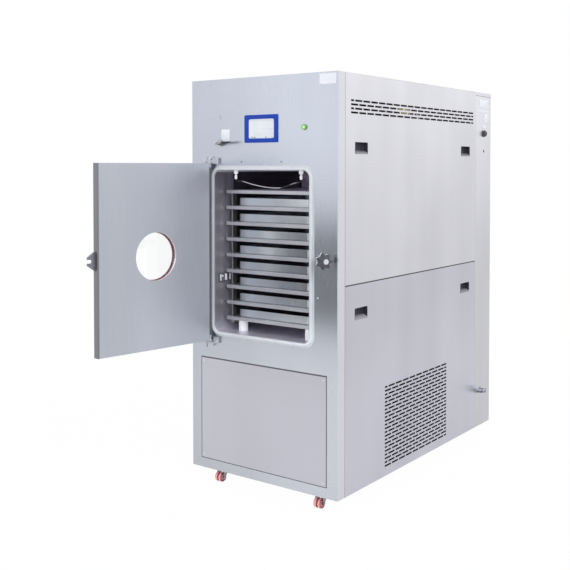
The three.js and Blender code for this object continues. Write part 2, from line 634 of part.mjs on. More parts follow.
/** Hinge bracket: a bolted base on the front panel, an arm and the pin that enters the door's end. */
function hingeBracket(armZ, { drop, tail, rib }, outwards) {
  const [w, h] = hinge.base;
  const [px, py] = hingeAxis;
  const bx = doorX[0] + hinge.baseIn;
  const baseZ = armZ - drop;
  const base = block([bx - w / 2, bx + w / 2], [-seat - hinge.baseThick, -seat], [baseZ, baseZ + h]);
  const arm = outline([
    [bx - w / 2, -seat - 1],
    [bx + 2, -seat - 1],
    [bx + 2, -seat - hinge.baseThick],
    [px + hinge.eye * 0.5, py - hinge.eye * 0.6],
    [px - hinge.eye * 0.6, py + hinge.eye * 0.5],
  ]);
  const z = [armZ, armZ + hinge.armThick];
  const pinZ = outwards > 0
    ? [doorZ[1] - hinge.bury + 2, z[1] + tail]
    : [z[0] - tail, doorZ[0] + hinge.bury - 2];
  const parts = [
    base,
    alongZ(arm, z),
    rod('z', z, hingeAxis, hinge.eye, 20),
    rod('z', pinZ, hingeAxis, hinge.pin, 16),
  ];
  if (rib > 0) {
    const back = -seat - hinge.baseThick + 1;
    const foot = outline([[back, z[1] - 1], [back, z[1] + rib], [py + hinge.pin, z[1] - 1]]);
    const middle = (px + bx - w / 2) / 2 + hinge.pin;
    parts.push(alongX(foot, [middle - 3, middle + 3]));
  }
  return join(parts);
}
const armZ = { upper: doorZ[1] + hinge.armGap, lower: doorZ[0] - hinge.armGap - hinge.armThick };
piece('hinge_bracket_upper', hingeBracket(armZ.upper, hinge.upper, 1), finish.steel);
piece('hinge_bracket_lower', hingeBracket(armZ.lower, hinge.lower, -1), finish.steel);

// ---------------------------------------------------------------- door clamp

/** Fork on the front panel with the pin that carries the swing bolt. */
function clampFork() {
  const [w, h] = clamp.base;
  const { y, eye, eyeHalf, cheek, pin } = clamp;
  const [x, level] = clampAt;
  const base = block([x - w / 2, x + w / 2], [-seat - clamp.baseThick, -seat], [level - h / 2, level + h / 2]);
  const cheeks = [-1, 1].map((up) => {
    const inside = level + up * (eyeHalf + seat);
    const outside = inside + up * cheek;
    const z = [Math.min(inside, outside), Math.max(inside, outside)];
    return join([
      block([x - eye, x + eye], [-y, -seat - 1], z),
      rod('z', z, [x, -y], eye, 20),
    ]);
  });
  const reach = eyeHalf + seat + cheek + 2;
  return join([base, ...cheeks, rod('z', [level - reach, level + reach], [x, -y], pin, 16)]);
}
piece('clamp_fork', clampFork(), finish.steel);

const boltSwing = new THREE.Group(); // bolt and knob are drawn along -y from the pivot
boltSwing.position.set(clampAt[0], -clamp.y, clampAt[1]);
boltSwing.rotation.z = THREE.MathUtils.degToRad(clamp.swing);
machine.add(boltSwing);

/** Swing bolt: an eye on the fork's pin and a shank. */
function swingBolt() {
  return cut(join([
    rod('z', [-clamp.eyeHalf, clamp.eyeHalf], [0, 0], clamp.eye - 1, 20),
    rod('y', [-bolt.length, -clamp.pin - 2], [0, 0], bolt.radius, 16),
  ]), [rod('z', [-20, 20], [0, 0], clamp.pin + running, 16)]);
}

/** Star knob with the steel disc behind it, its hub and cap, bored for the bolt. */
function starKnob() {
  const { from, washer, washerThick, hub, hubLength, radius, lobe, lobes, thick, edge, capRadius, cap } = knob;
  const star = new THREE.Shape();
  const steps = 8 * lobes;
  for (let i = 0; i < steps; i++) {
    const turn = (2 * Math.PI * i) / steps;
    const fall = Math.pow((1 - Math.cos(lobes * turn)) / 2, 0.7);
    const r = radius - edge / 2 - lobe * fall;
    const at = [r * Math.cos(turn), r * Math.sin(turn)];
    if (i === 0) star.moveTo(...at);
    else star.lineTo(...at);
  }
  const starFrom = from + hubLength;
  const face = starFrom + thick;
  const grip = new THREE.ExtrudeGeometry(star, {
    depth: thick - 2 * edge, bevelThickness: edge, bevelSize: edge / 2, bevelSegments: 2,
  });
  grip.rotateX(Math.PI / 2).translate(0, -starFrom - edge, 0);
  return cut(join([
    rod('y', [-from - washerThick, -from], [0, 0], washer, 32),
    rod('y', [-starFrom - 1, -from - 1], [0, 0], hub, 16),
    solid(grip),
    rod('y', [-face - cap, -face + 1], [0, 0], capRadius, 20),
  ]), [rod('y', [-bolt.length - seat, 0], [0, 0], bolt.radius + running, 16)]);
}
piece('swing_bolt', swingBolt(), finish.steel, boltSwing);
piece('star_knob', starKnob(), finish.black, boltSwing);

// ---------------------------------------------------------------- controls on the front panel

/** Touch panel: a raised bezel with a sunk screen and the case behind the sheet. */
function touchPanel() {
  const [w, h] = touch.size;
  const level = belowTop(touch.below);
  const bezel = roundedRect([touch.x, level], [w / 2, h / 2], touch.radius);
  const [cw, ch] = touch.cut;
  const [sw, sh] = touch.window;
  return cut(join([
    alongY(bezel, [-seat - touch.proud, -seat], 3),
    brick([touch.x, touch.behind / 2 - 1, level], [cw - 2 * seat, touch.behind, ch - 2 * seat]),
  ]), [brick([touch.x + touch.shift, -seat - touch.proud, level], [sw, 2 * touch.sill, sh])]);
}

/** Push button: a round cap on a stem that passes the sheet. */
function pushButton() {
  const { x, radius, proud, stem, stemLength, travel } = button;
  const level = belowTop(button.below);
  const back = -seat - travel;
  return join([
    rod('y', [back - proud, back], [x, level], radius, 20),
    rod('y', [back - 1, back + stemLength], [x, level], stem, 16),
  ]);
}

/** Aeration valve body with its outlet stub and the stem that the lever turns on. */
function airValveBody() {
  const { x, base, body, length, stem, stub, outlet } = airValve;
  const level = belowTop(airValve.below);
  return join([
    rod('y', [-seat - 7, -seat], [x, level], base, 6),
    rod('y', [-length, -seat - 1], [x, level], body, 16),
    rod('y', [-length - 9, -length + 1], [x, level], stem, 12),
    rod('x', [x - outlet, x], [-length * 0.6, level], stub, 12),
  ]);
}

/** Lever of the aeration valve: a round eye and a tapered handle. */
function airValveLever() {
  const { x, length, stem, lever } = airValve;
  const level = belowTop(airValve.below);
  const tip = x + lever;
  const y = [-length - seat - 6, -length - seat];
  const handle = outline([
    [x, level - 8],
    [tip, level - 2.5],
    [tip, level + 3.5],
    [x, level + 8],
  ]);
  return cut(join([alongY(handle, y), rod('y', y, [x, level], 9.5, 20)]), [
    rod('y', [y[0] - 1, y[1] + 1], [x, level], stem + running, 12),
  ]);
}

piece('touch_panel', touchPanel(), finish.blue);
piece('push_button', pushButton(), finish.green);
piece('air_valve_body', airValveBody(), finish.steel);
piece('air_valve_lever', airValveLever(), finish.black);

// ---------------------------------------------------------------- service strip

/** Drain valve: hexagon base, barrel, hose barb and the stem under its lever. */
function drainBody() {
  const { level, hex, hexLong, barrel, barrelTo, barb, ridge, reach, stemX, stem } = drain;
  const y = cabinet.depth - drain.rear;
  const x0 = side + seat;
  const ring = (from) => rod('x', [from, from + ridge], [y, level], barb + 1.5, 16, barb);
  return join([
    rod('x', [x0, x0 + hexLong], [y, level], hex, 6),
    rod('x', [x0 + hexLong - 1, side + barrelTo], [y, level], barrel, 16),
    rod('x', [side + barrelTo - 1, side + reach], [y, level], barb, 16),
    ring(side + barrelTo + 4),
    ring(side + barrelTo + 4 + ridge),
    rod('z', [level, level + barrel + 8], [side + stemX, y], stem, 12),
  ]);
}

/** Lever of the drain valve, in line with the barrel when open. */
function drainLever() {
  const { level, barrel, stemX, stem, lever } = drain;
  const y = cabinet.depth - drain.rear;
  const z = [level + barrel + seat, level + barrel + seat + lever[2]];
  const x = side + stemX;
  const width = lever[1] / 2;
  return cut(join([
    rod('z', z, [x, y], width + 2, 16),
    block([x, x + lever[0]], [y - width, y + width], z),
  ]), [rod('z', [z[0] - 1, z[1] + 1], [x, y], stem + running, 12)]);
}

/** Mains gland: nut and dome with an empty bore. */
function mainsGland() {
  const { nut, nutLong, dome, domeTo, bore } = mains;
  const [y, level] = [cabinet.depth - mains.rear, belowTop(mains.below)];
  const x0 = side + seat;
  return cut(join([
    rod('x', [x0, x0 + nutLong], [y, level], nut, 12),
    rod('x', [x0 + nutLong - 1, side + domeTo], [y, level], dome, 16, dome - 3),
  ]), [rod('x', [x0 + nutLong - 1, side + domeTo + 1], [y, level], bore, 12)]);
}

piece('drain_valve_body', drainBody(), finish.steel);
piece('drain_valve_lever', drainLever(), finish.steel);
piece('mains_gland', mainsGland(), finish.black);

// ---------------------------------------------------------------- casters

/** Swivel fork of a caster, drawn round its swivel axis, with the axle bolt. */
function casterFork() {
  const top = -caster.plate[2] - seat;
  const axleZ = -caster.height + caster.wheel;
  const inside = caster.tread + casterPart.legGap;
  const outside = inside + casterPart.leg;
  const yoke = -caster.height + 2 * caster.wheel + 5; // underside of the yoke plate, clear of the wheel
  const leg = new THREE.Shape();
  leg.moveTo(casterPart.crown * 0.8, yoke + casterPart.leg);
  leg.lineTo(-casterPart.crown, yoke + casterPart.leg);
  leg.absarc(-caster.trail, axleZ, 8, Math.PI, 2 * Math.PI, false);
  const legs = [[inside, outside], [-outside, -inside]].map((x) => alongX(leg, x, 5));
  const reach = outside + 3;
  return join([
    rod('z', [yoke, top], [0, 0], casterPart.crown, 20),
    block([-outside, outside], [-casterPart.crown, casterPart.crown * 0.8], [yoke, yoke + casterPart.leg]),
    ...legs,
    rod('x', [-reach, reach], [-caster.trail, axleZ], caster.axle, 12),
    rod('x', [outside - 1, reach], [-caster.trail, axleZ], 6.5, 6),
    rod('x', [-reach, -outside + 1], [-caster.trail, axleZ], 6.5, 6),
  ]);
}

/** Wheel: bored hub, sunk web and a tread with a groove round its middle. */
function casterWheel() {
  const { tread, axle, sides } = caster;
  const wheel = caster.wheel / Math.cos(Math.PI / sides); // its flats, not its edges, are at the full radius
  const { hub, boss, web, groove, grooveDeep } = casterPart;
  const half = [
    [axle + running, boss],
    [hub, boss],
    [hub, tread - web],
    [wheel - 6, tread - web],
    [wheel - 4.5, tread],
    [wheel - 2, tread],
    [wheel, tread - 2.5],
    [wheel, groove + 1.5],
    [wheel - grooveDeep, groove],
  ];
  const other = half.map(([r, h]) => [r, -h]).reverse();
  const body = turned([...half, ...other], 'x', [0, 0, 0], sides).rotate([180 / sides, 0, 0]);
  return body.translate([0, -caster.trail, -caster.height + caster.wheel]);
}

const casterPlaces = [
  ['front_left', -casterX, caster.inset],
  ['front_right', casterX, caster.inset],
  ['rear_left', -casterX, cabinet.depth - caster.inset],
  ['rear_right', casterX, cabinet.depth - caster.inset],
];
const forkBody = casterFork();
const wheelBody = casterWheel();
for (const [name, x, y] of casterPlaces) {
  const swivel = new THREE.Group();
  swivel.position.set(x, y, 0);
  machine.add(swivel);
  piece(`fork_${name}`, forkBody, finish.steel, swivel);
  piece(`wheel_${name}`, wheelBody, finish.red, swivel);
}

// ---------------------------------------------------------------- plant inside

/** Cold trap: a dished vessel on two saddles, joined to the chamber by a neck. */
function coldTrap() {
  const [y0, y1] = trapY;
  const dish = 40;
  const profile = [
    [0, y0], [trap.radius * 0.6, y0 + 8], [trap.radius * 0.9, y0 + 22], [trap.radius, y0 + dish],
    [trap.radius, y1 - dish], [trap.radius * 0.9, y1 - 22], [trap.radius * 0.6, y1 - 8], [0, y1],
  ];
  const saddles = trapSaddles.map((y) => block([-130, 130], [y - bar / 2, y + bar / 2],
    [splitHeight + bar / 2 + seat, trapLevel - trap.radius * 0.6]));
  return join([
    turned(profile, 'y', [0, 0, trapLevel], 28),
    rod('y', [shell.depth + seat, y0 + dish], [0, trapLevel], trap.neck, 24),
    ...saddles,
  ]);
}

/** Refrigeration and vacuum unit: one bed plate with the compressor's domed can and the oil pump. */
function plantUnit() {
  const { bed, bedThick, foot: footSize, can, canAt, canHeight } = plant;
  const { pumpAt, motor, motorLength, pumpBlock, axisUp } = plant;
  const bedZ = [railTopBase + seat, railTopBase + seat + bedThick];
  const base = bedZ[1] - 1;
  const profile = [
    [0, base], [can * 0.8, base], [can, base + 30], [can, base + canHeight - 50],
    [can * 0.8, base + canHeight - 15], [0, base + canHeight],
  ];
  const [[x0, x1], [y0, y1]] = bed;
  const [px, py] = pumpAt;
  const joint = py + motorLength;
  const feet = [[x0, x0 + footSize], [x1 - footSize, x1]].map(
    (x) => block(x, [y0, y0 + footSize], [sheet + seat, base]),
  );
  return join([
    block([x0, x1], [y0, y1], bedZ),
    ...feet,
    turned(profile, 'z', [...canAt, 0], 24),
    rod('y', [py, joint + 5], [px, base + axisUp], motor, 24),
    brick([px, joint + pumpBlock[1] / 2, base + pumpBlock[2] / 2], pumpBlock),
    block([px - motor / 2, px + motor / 2], [py + 30, joint - 30], [base, base + axisUp]),
  ]);
}

piece('cold_trap', coldTrap(), finish.steel);
piece('plant_unit', plantUnit(), finish.paint);

// The machine stands on z = 0 with the middle of its overall box on the z axis.
machine.updateMatrixWorld(true);
const bounds = new THREE.Box3().setFromObject(machine, true);
const middle = bounds.getCenter(new THREE.Vector3());
machine.position.set(-middle.x, -middle.y, -bounds.min.z);
machine.updateMatrixWorld(true);

export default machine;
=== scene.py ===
"""Pilot freeze dryer with its door standing open: finishes, bare plates and small fittings.

Sizes are in millimetres from the middle of the front panel's foot, and place() brings them to metres
of the frame. Each section is one piece or one group of like pieces, in the order of assembly.
"""

import json
import math

import bmesh
import bpy
import numpy as np
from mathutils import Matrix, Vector

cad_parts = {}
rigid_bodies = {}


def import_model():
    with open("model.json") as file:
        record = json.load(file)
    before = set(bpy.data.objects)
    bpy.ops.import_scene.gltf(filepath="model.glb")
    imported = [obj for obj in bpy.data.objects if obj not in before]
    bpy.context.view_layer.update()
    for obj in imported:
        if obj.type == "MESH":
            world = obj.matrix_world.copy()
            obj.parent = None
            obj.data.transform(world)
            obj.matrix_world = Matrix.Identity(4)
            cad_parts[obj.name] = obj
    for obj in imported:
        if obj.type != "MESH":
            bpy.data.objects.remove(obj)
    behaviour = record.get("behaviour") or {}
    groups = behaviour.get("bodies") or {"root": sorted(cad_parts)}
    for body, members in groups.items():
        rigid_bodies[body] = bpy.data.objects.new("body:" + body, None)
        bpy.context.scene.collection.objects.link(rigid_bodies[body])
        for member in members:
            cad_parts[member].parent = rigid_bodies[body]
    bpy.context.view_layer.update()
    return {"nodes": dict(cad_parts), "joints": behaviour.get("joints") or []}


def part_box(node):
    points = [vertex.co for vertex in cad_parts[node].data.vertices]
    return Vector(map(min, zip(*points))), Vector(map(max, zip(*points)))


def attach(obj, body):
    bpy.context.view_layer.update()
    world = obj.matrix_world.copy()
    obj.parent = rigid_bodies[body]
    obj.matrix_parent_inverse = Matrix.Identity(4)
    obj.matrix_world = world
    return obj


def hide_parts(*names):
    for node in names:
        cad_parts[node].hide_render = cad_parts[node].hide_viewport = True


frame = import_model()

bpy.context.scene.view_settings.view_transform = "Standard"


# ---- Camera ----
# The machine is seen from its right front corner, with the eye a little above the chamber.
# The lens is kept nearly level and shifted down, so that the upright edges stay upright.

MM = 0.001
panel_low, panel_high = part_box("front_panel")
datum = np.array([(panel_low.x + panel_high.x) / 2, panel_low.y, panel_low.z])


def place(*point):
    """A point given in millimetres from the middle of the front panel's foot, in metres of the frame."""
    return datum + MM * np.array(point, float)


eye = place(2327, -2974.5, 1326.2)
turn_left = 36.5
look_down = 1.6

camera_data = bpy.data.cameras.new("camera")
camera_data.sensor_width = 36
camera_data.lens = 57.2
camera_data.shift_y = -0.1638
camera = bpy.data.objects.new("camera", camera_data)
camera.location = Vector(eye)
camera.rotation_euler = (math.radians(90 - look_down), 0, math.radians(turn_left))
bpy.context.scene.collection.objects.link(camera)
bpy.context.scene.camera = camera


# ---- Roof lead ----
# A thin grey sensor lead that hangs across the chamber roof from one nylon gland to the other.
# It is a soft sheathed wire, so it goes straight out of the gland and then sags in one long bow;
# black shrink sleeve covers it near both glands. Towards the right gland the dark is carried on
# as painted shade, lifted over a short stretch where the lead rises back into the light.


class Value:
    """A number in a material; arithmetic on it adds the Math nodes that work it out."""

    def __init__(self, finish, socket):
        self.finish = finish
        self.socket = socket

    def maths(self, operation, *others):
        """The Math node of that name, given this number and the others."""
        return self.finish.node("ShaderNodeMath", {"operation": operation}, self, *others)

    def __add__(self, other):
        return self.maths("ADD", other)

    def __sub__(self, other):
        return self.maths("SUBTRACT", other)

    def __rsub__(self, other):
        return self.finish.node("ShaderNodeMath", {"operation": "SUBTRACT"}, other, self)

    def __mul__(self, other):
        return self.maths("MULTIPLY", other)

    def __lt__(self, other):
        return self.maths("LESS_THAN", other)

    def __gt__(self, other):
        return self.maths("GREATER_THAN", other)

    __radd__ = __add__
    __rmul__ = __mul__


class Finish:
    """A surface finish: one Principled shader, whose constant sockets are given by name."""

    def __init__(self, name, **constants):
        self.material = bpy.data.materials.new(name)
        self.material.use_nodes = True
        self.tree = self.material.node_tree
        self.shader = self.tree.nodes["Principled BSDF"]
        for socket, constant in constants.items():
            self.shader.inputs[socket.replace("_", " ")].default_value = constant

    def node(self, kind, settings, *values, out=0, **named):
        """Adds a node: its settings first, then the values or links of its sockets."""
        made = self.tree.nodes.new(kind)
        for key, setting in settings.items():
            setattr(made, key, setting)
        for socket, value in [*enumerate(values), *named.items()]:
            if isinstance(value, Value):
                self.tree.links.new(value.socket, made.inputs[socket])
            else:
                made.inputs[socket].default_value = value
        return Value(self, made.outputs[out])

    def here(self):
        """The point on the piece, in the machine's own frame."""
        return self.node("ShaderNodeTexCoord", {}, out="Object")

    def axes(self, point):
        """The three coordinates of a point, as values."""
        split = self.node("ShaderNodeSeparateXYZ", {}, point)
        return [Value(self, split.socket.node.outputs[i]) for i in range(3)]

    def noise(self, scale, detail=2.0, roughness=0.5):
        """Cloudy noise from 0 to 1; the scale is one number, or one for each axis."""
        scales = np.broadcast_to(scale, 3).tolist()
        mapped = self.node("ShaderNodeMapping", {}, self.here(), Scale=scales)
        return self.node("ShaderNodeTexNoise", {}, mapped, Scale=1.0, Detail=detail, Roughness=roughness)

    def fade(self, value, low, high, to_low=0.0, to_high=1.0):
        """The value as it goes smoothly from low to high, brought to another range."""
        smooth = {"interpolation_type": "SMOOTHSTEP"}
        return self.node("ShaderNodeMapRange", smooth, value, low, high, to_low, to_high)

    def mix(self, factor, first, second):
        """One colour at factor 0 and the other at factor 1."""
        made = self.node("ShaderNodeMix", {"data_type": "RGBA"}, factor, out=2)
        for socket, colour in ((6, first), (7, second)):
            if isinstance(colour, Value):
                self.tree.links.new(colour.socket, made.socket.node.inputs[socket])
            else:
                made.socket.node.inputs[socket].default_value = (*colour, 1)
        return made

    def feed(self, **sockets):
        """Links values to the shader's sockets."""
        for socket, value in sockets.items():
            self.tree.links.new(value.socket, self.shader.inputs[socket.replace("_", " ")])
        return self

    def coloured(self, share, first, second):
        """The base colour: the first where the share is 0, going over to the second where it is 1."""
        return self.feed(Base_Color=self.mix(share, first, second))

    def polished(self, cloud, bright, dull, low=0.3, high=0.7):
        """The roughness: it fades from bright to dull as the cloud goes from low to high."""
        return self.feed(Roughness=self.fade(cloud, low, high, bright, dull))

    def bump(self, height, distance, strength=1.0):
        """Relief of a height from 0 to 1 that stands this far proud."""
        relief = self.node("ShaderNodeBump", {}, Height=height, Distance=distance, Strength=strength)
        return self.feed(Normal=relief)


def within(value, low, high):
    """1 between two millimetre readings and 0 outside them."""
    return (value > MM * low) * (value < MM * high)


def in_body(finish):
    """The three coordinates of the point, in metres from the middle of the front panel's foot."""
    here = finish.node("ShaderNodeVectorMath", {"operation": "SUBTRACT"}, finish.here(), tuple(datum))
    return finish.axes(here)


def add_mesh(name, points, faces, finish, body):
    """Puts points and faces into a mesh that rides on a body; doubled points are merged."""
    mesh = bpy.data.meshes.new(name)
    mesh.from_pydata(np.asarray(points).reshape(-1, 3).tolist(), [], np.asarray(faces).tolist())
    shape = bmesh.new()
    shape.from_mesh(mesh)
    bmesh.ops.remove_doubles(shape, verts=shape.verts, dist=2e-6)
    bmesh.ops.recalc_face_normals(shape, faces=shape.faces)
    shape.to_mesh(mesh)
    shape.free()
    mesh.shade_smooth()
    mesh.set_sharp_from_angle(angle=math.radians(38))
    piece = bpy.data.objects.new(name, mesh)
    bpy.context.scene.collection.objects.link(piece)
    mesh.materials.append(finish.material)
    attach(piece, body)
    return piece


def grid_faces(rows, columns, first=0, ring=False):
    """Quads between neighbouring points of a grid; ring joins the last row to the first."""
    index = first + np.arange(rows * columns).reshape(rows, columns)
    if ring:
        index = np.vstack([index, index[:1]])
    corners = [index[:-1, :-1], index[:-1, 1:], index[1:, 1:], index[1:, :-1]]
    return np.stack(corners, -1).reshape(-1, 4)


def gather(name, skins, finish, body):
    """One grid of points, or several, made into one piece."""
    points, faces, first = [], [], 0
    for skin in skins:
        rows, columns = skin.shape[:2]
        points.append(skin.reshape(-1, 3))
        faces.append(grid_faces(rows, columns, first))
        first += rows * columns
    return add_mesh(name, np.vstack(points), np.vstack(faces), finish, body)


def tube(points, radius, sides):
    """A round tube: at each point a circle square to the path, from a level radius and an upright one."""
    points = np.asarray(points, float)
    along = np.gradient(points, axis=0)
    along /= np.linalg.norm(along, axis=1)[:, None]
    level = np.cross(along, [0.0, 1.0, 0.0])
    level /= np.linalg.norm(level, axis=1)[:, None]
    across = np.cross(along, level)
    turn = np.linspace(0, 2 * np.pi, sides + 1)
    ring = np.cos(turn)[None, :, None] * level[:, None] + np.sin(turn)[None, :, None] * across[:, None]
    skin = points[:, None] + radius * ring
    ends = np.repeat(points[[0, -1]][:, None], sides + 1, axis=1)
    return np.vstack([ends[:1], skin, ends[1:]])


def smooth_path(knots, steps):
    """Catmull-Rom curve: each span blends its four nearest knots with cubic weights of its own time."""
    knots = np.asarray(knots, float)
    before = np.vstack([2 * knots[:1] - knots[1:2], knots[:-2], knots[-3:-2]])[: len(knots) - 1]
    after = np.vstack([knots[2:], 2 * knots[-1:] - knots[-2:-1]])
    start, end = knots[:-1], knots[1:]
    t = np.linspace(0, 1, steps, endpoint=False)[:, None, None]
    cubic = 0.5 * (
        2 * start
        + (end - before) * t
        + (2 * before - 5 * start + 4 * end - after) * t**2
        + (3 * start - before - 3 * end + after) * t**3
    )
    return np.vstack([cubic.transpose(1, 0, 2).reshape(-1, 3), knots[-1:]])


lead_radius = 2.0
lead_sides = 12
lead_route = [
    (-173, 48, 1270.4), (-173, 48, 1268.7), (-170, 48, 1264.7), (-161, 50, 1262.7), (-142, 52, 1262.5),
    (-110, 56, 1254), (-75, 58, 1246.5), (-40, 60, 1240.5), (-5, 60, 1236.5), (28, 60, 1235),
    (58, 60, 1236.5), (86, 58, 1242), (112, 56, 1250), (134, 53, 1256.5), (150, 51, 1258.5),
    (161, 50, 1260.7), (170, 48, 1263.7), (173, 48, 1268.7), (173, 48, 1270.4),
]
lead_path = smooth_path([place(*knot) for knot in lead_route], 5)

sheath = Finish("grey_sheath", Roughness=0.45)
scuffs = sheath.noise(900, detail=3)
lead_x = in_body(sheath)[0]
# Dark shrink sleeve at both ends; the long dark stretch on the right is painted shade, lifted where the lead
# catches light.
lead_sleeves_and_shade = sheath.fade(lead_x, -0.142, -0.136, 1, 0) + sheath.fade(lead_x, 0.052, 0.066)
lead_sleeves_and_shade = lead_sleeves_and_shade * (1 - within(lead_x, 113, 148) * 0.6)
sheath_tone = sheath.mix(scuffs, (0.48, 0.48, 0.51), (0.62, 0.62, 0.65))
sheath.coloured(lead_sleeves_and_shade, sheath_tone, (0.022, 0.02, 0.026))
sheath.bump(scuffs, 0.0002)

lead_skin = tube(lead_path, MM * lead_radius, lead_sides)
lead = gather("roof_lead_wire", [lead_skin], sheath, "cabinet")
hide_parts("roof_lead")


# ---- Studio ----
# A pale floor that fades to the white of the backdrop, one broad soft lamp at the right, a weaker
# one at the left and one behind, and a grey flag out of view that the brushed front mirrors as a
# soft band.

floor_reach = 14.0
floor_mesh = bpy.data.meshes.new("floor")
floor_corners = [(floor_reach * x, floor_reach * y, 0) for x, y in ((-1, -1), (1, -1), (1, 1), (-1, 1))]
floor_mesh.from_pydata(floor_corners, [], [(0, 1, 2, 3)])
floor = bpy.data.objects.new("floor", floor_mesh)
bpy.context.scene.collection.objects.link(floor)

paper = Finish("studio_paper", Roughness=0.9)
paper.coloured(paper.noise(3), (0.74, 0.74, 0.75), (0.78, 0.78, 0.79))
glow = paper.node("ShaderNodeEmission", {}, (1, 1, 1, 1), 1.0)
ray_names = ("Is Camera Ray", "Is Glossy Ray", "Is Transmission Ray")
ray_outputs = paper.node("ShaderNodeLightPath", {}).socket.node.outputs
seen, mirrored, refracted = [Value(paper, ray_outputs[name]) for name in ray_names]
from_middle = paper.node("ShaderNodeVectorMath", {"operation": "LENGTH"}, paper.here(), out="Value")
far = paper.fade(from_middle, 1.4, 4.0)
glow_share = (seen + refracted) * (0.985 + far * 0.015) + mirrored * (0.62 + far * 0.14)
surface = paper.node("ShaderNodeMixShader", {}, glow_share, Value(paper, paper.shader.outputs[0]), glow)
paper.tree.links.new(surface.socket, paper.tree.nodes["Material Output"].inputs["Surface"])
floor_mesh.materials.append(paper.material)

world = bpy.data.worlds.new("studio")
world.use_nodes = True
bpy.context.scene.world = world
sky = world.node_tree

def sky_node(kind, inputs, **settings):
    """Adds a node to the sky: its settings first, then a value or a link for each socket."""
    made = sky.nodes.new(kind)
    for key, setting in settings.items():
        setattr(made, key, setting)
    for socket, value in inputs.items():
        if isinstance(value, bpy.types.NodeSocket):
            sky.links.new(value, made.inputs[socket])
        else:
            made.inputs[socket].default_value = value
    return made.outputs


sky_rays = sky_node("ShaderNodeLightPath", {})
sky_seen, sky_mirrored, sky_refracted = [sky_rays[name] for name in ray_names]
seen_or_mirrored = sky_node("ShaderNodeMath", {0: sky_seen, 1: sky_mirrored}, operation="MAXIMUM")[0]
any_of_them = sky_node("ShaderNodeMath", {0: seen_or_mirrored, 1: sky_refracted}, operation="MAXIMUM")[0]
level_light = sky_node("ShaderNodeMapRange", {"Value": any_of_them, "To Min": 0.68, "To Max": 1.0})[0]
sky_way = sky_node("ShaderNodeNewGeometry", {})["Incoming"]
sky_height = sky_node("ShaderNodeSeparateXYZ", {0: sky_way})["Z"]
upwards = {"Value": sky_height, "From Min": 0.05, "From Max": -0.5, "To Min": 0.0, "To Max": 0.22}
overhead = sky_node("ShaderNodeMapRange", upwards, interpolation_type="SMOOTHSTEP")[0]
canopy = {0: sky_mirrored, 1: overhead, 2: level_light}
sky_light = sky_node("ShaderNodeMath", canopy, operation="MULTIPLY_ADD")[0]
backdrop = sky.nodes["Background"]
backdrop.inputs["Color"].default_value = (1, 1, 1, 1)
sky.links.new(sky_light, backdrop.inputs["Strength"])


def soft_lamp(name, at, aim, size, power, mirrored=False):
    """A square lamp that faces a point; polished metal may mirror it or not."""
    data = bpy.data.lights.new(name, "AREA")
    data.shape = "RECTANGLE"
    data.size, data.size_y = size
    data.energy = power
    lamp = bpy.data.objects.new(name, data)
    lamp.location = at
    lamp.rotation_euler = (Vector(aim) - Vector(at)).to_track_quat("-Z", "Y").to_euler()
    lamp.visible_camera = False
    lamp.visible_glossy = mirrored
    bpy.context.scene.collection.objects.link(lamp)


soft_lamp("lamp_right", (3.2, -1.8, 3.0), (0, 0, 0.9), (2.4, 2.4), 85)
soft_lamp("lamp_left", (-2.8, -3.2, 2.6), (0, 0, 0.9), (2.4, 2.4), 62)
soft_lamp("lamp_rear", (3.4, 4.4, 4.2), (0.4, 0.3, 1.3), (3.0, 2.0), 60, mirrored=True)

flag_mesh = bpy.data.meshes.new("flag")
flag_x = (-780, 150)
flag_y = -1200
flag_z = (425, 1030)
flag_corners = [place(x, flag_y, z) for z, row in zip(flag_z, (1, -1)) for x in flag_x[::row]]
flag_mesh.from_pydata(flag_corners, [], [(0, 1, 2, 3)])
flag = bpy.data.objects.new("flag", flag_mesh)
bpy.context.scene.collection.objects.link(flag)
for ray_kind in ("camera", "diffuse", "shadow", "transmission"):
    setattr(flag, f"visible_{ray_kind}", False)
felt = Finish("grey_felt", Roughness=0.9)
felt.coloured(felt.noise(200), (0.03, 0.03, 0.034), (0.06, 0.06, 0.066))
flag_mesh.materials.append(felt.material)


# ---- Welded frame and floor pan ----
# Square mild-steel bar, welded, ground at the corners and sprayed in one grey coat of stove enamel.
# The floor pan below it is plain galvanised sheet, with the four caster plates spot-welded to it.


def dress(node, finish):
    """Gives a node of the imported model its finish; its shape stays as it is."""
    piece = frame["nodes"][node]
    piece.data.materials.clear()
    piece.data.materials.append(finish.material)
    return piece


enamel = Finish("grey_enamel")
orange_peel = enamel.noise(260, detail=3)
enamel.coloured(enamel.noise(4), (0.07, 0.072, 0.082), (0.11, 0.113, 0.125))
enamel.polished(orange_peel, 0.42, 0.6)
enamel.bump(orange_peel, 0.0003)
dress("frame", enamel)

zinc = Finish("zinc_sheet", Metallic=0.9)
spangle = zinc.node("ShaderNodeTexVoronoi", {}, zinc.here(), Scale=120.0, out="Color")
spangle_tone = zinc.node("ShaderNodeSeparateColor", {}, spangle)
zinc.coloured(spangle_tone, (0.46, 0.47, 0.5), (0.58, 0.59, 0.61))
zinc.polished(spangle_tone, 0.34, 0.5, 0, 1)
dress("floor_pan", zinc)


# ---- Cabinet sheets ----
# Stainless sheet, folded on a press brake and ground with an upright grain; the roof is ground from
# front to back. The joints between sheets read as dark lines, and painted shadow rings the punched
# vent slots.


def shaded(finish, factor):
    """Multiplies the colour that the finish already has by a number or a colour."""
    own = Value(finish, finish.shader.inputs["Base Color"].links[0].from_socket)
    return finish.feed(Base_Color=finish.node("ShaderNodeVectorMath", {"operation": "MULTIPLY"}, own, factor))


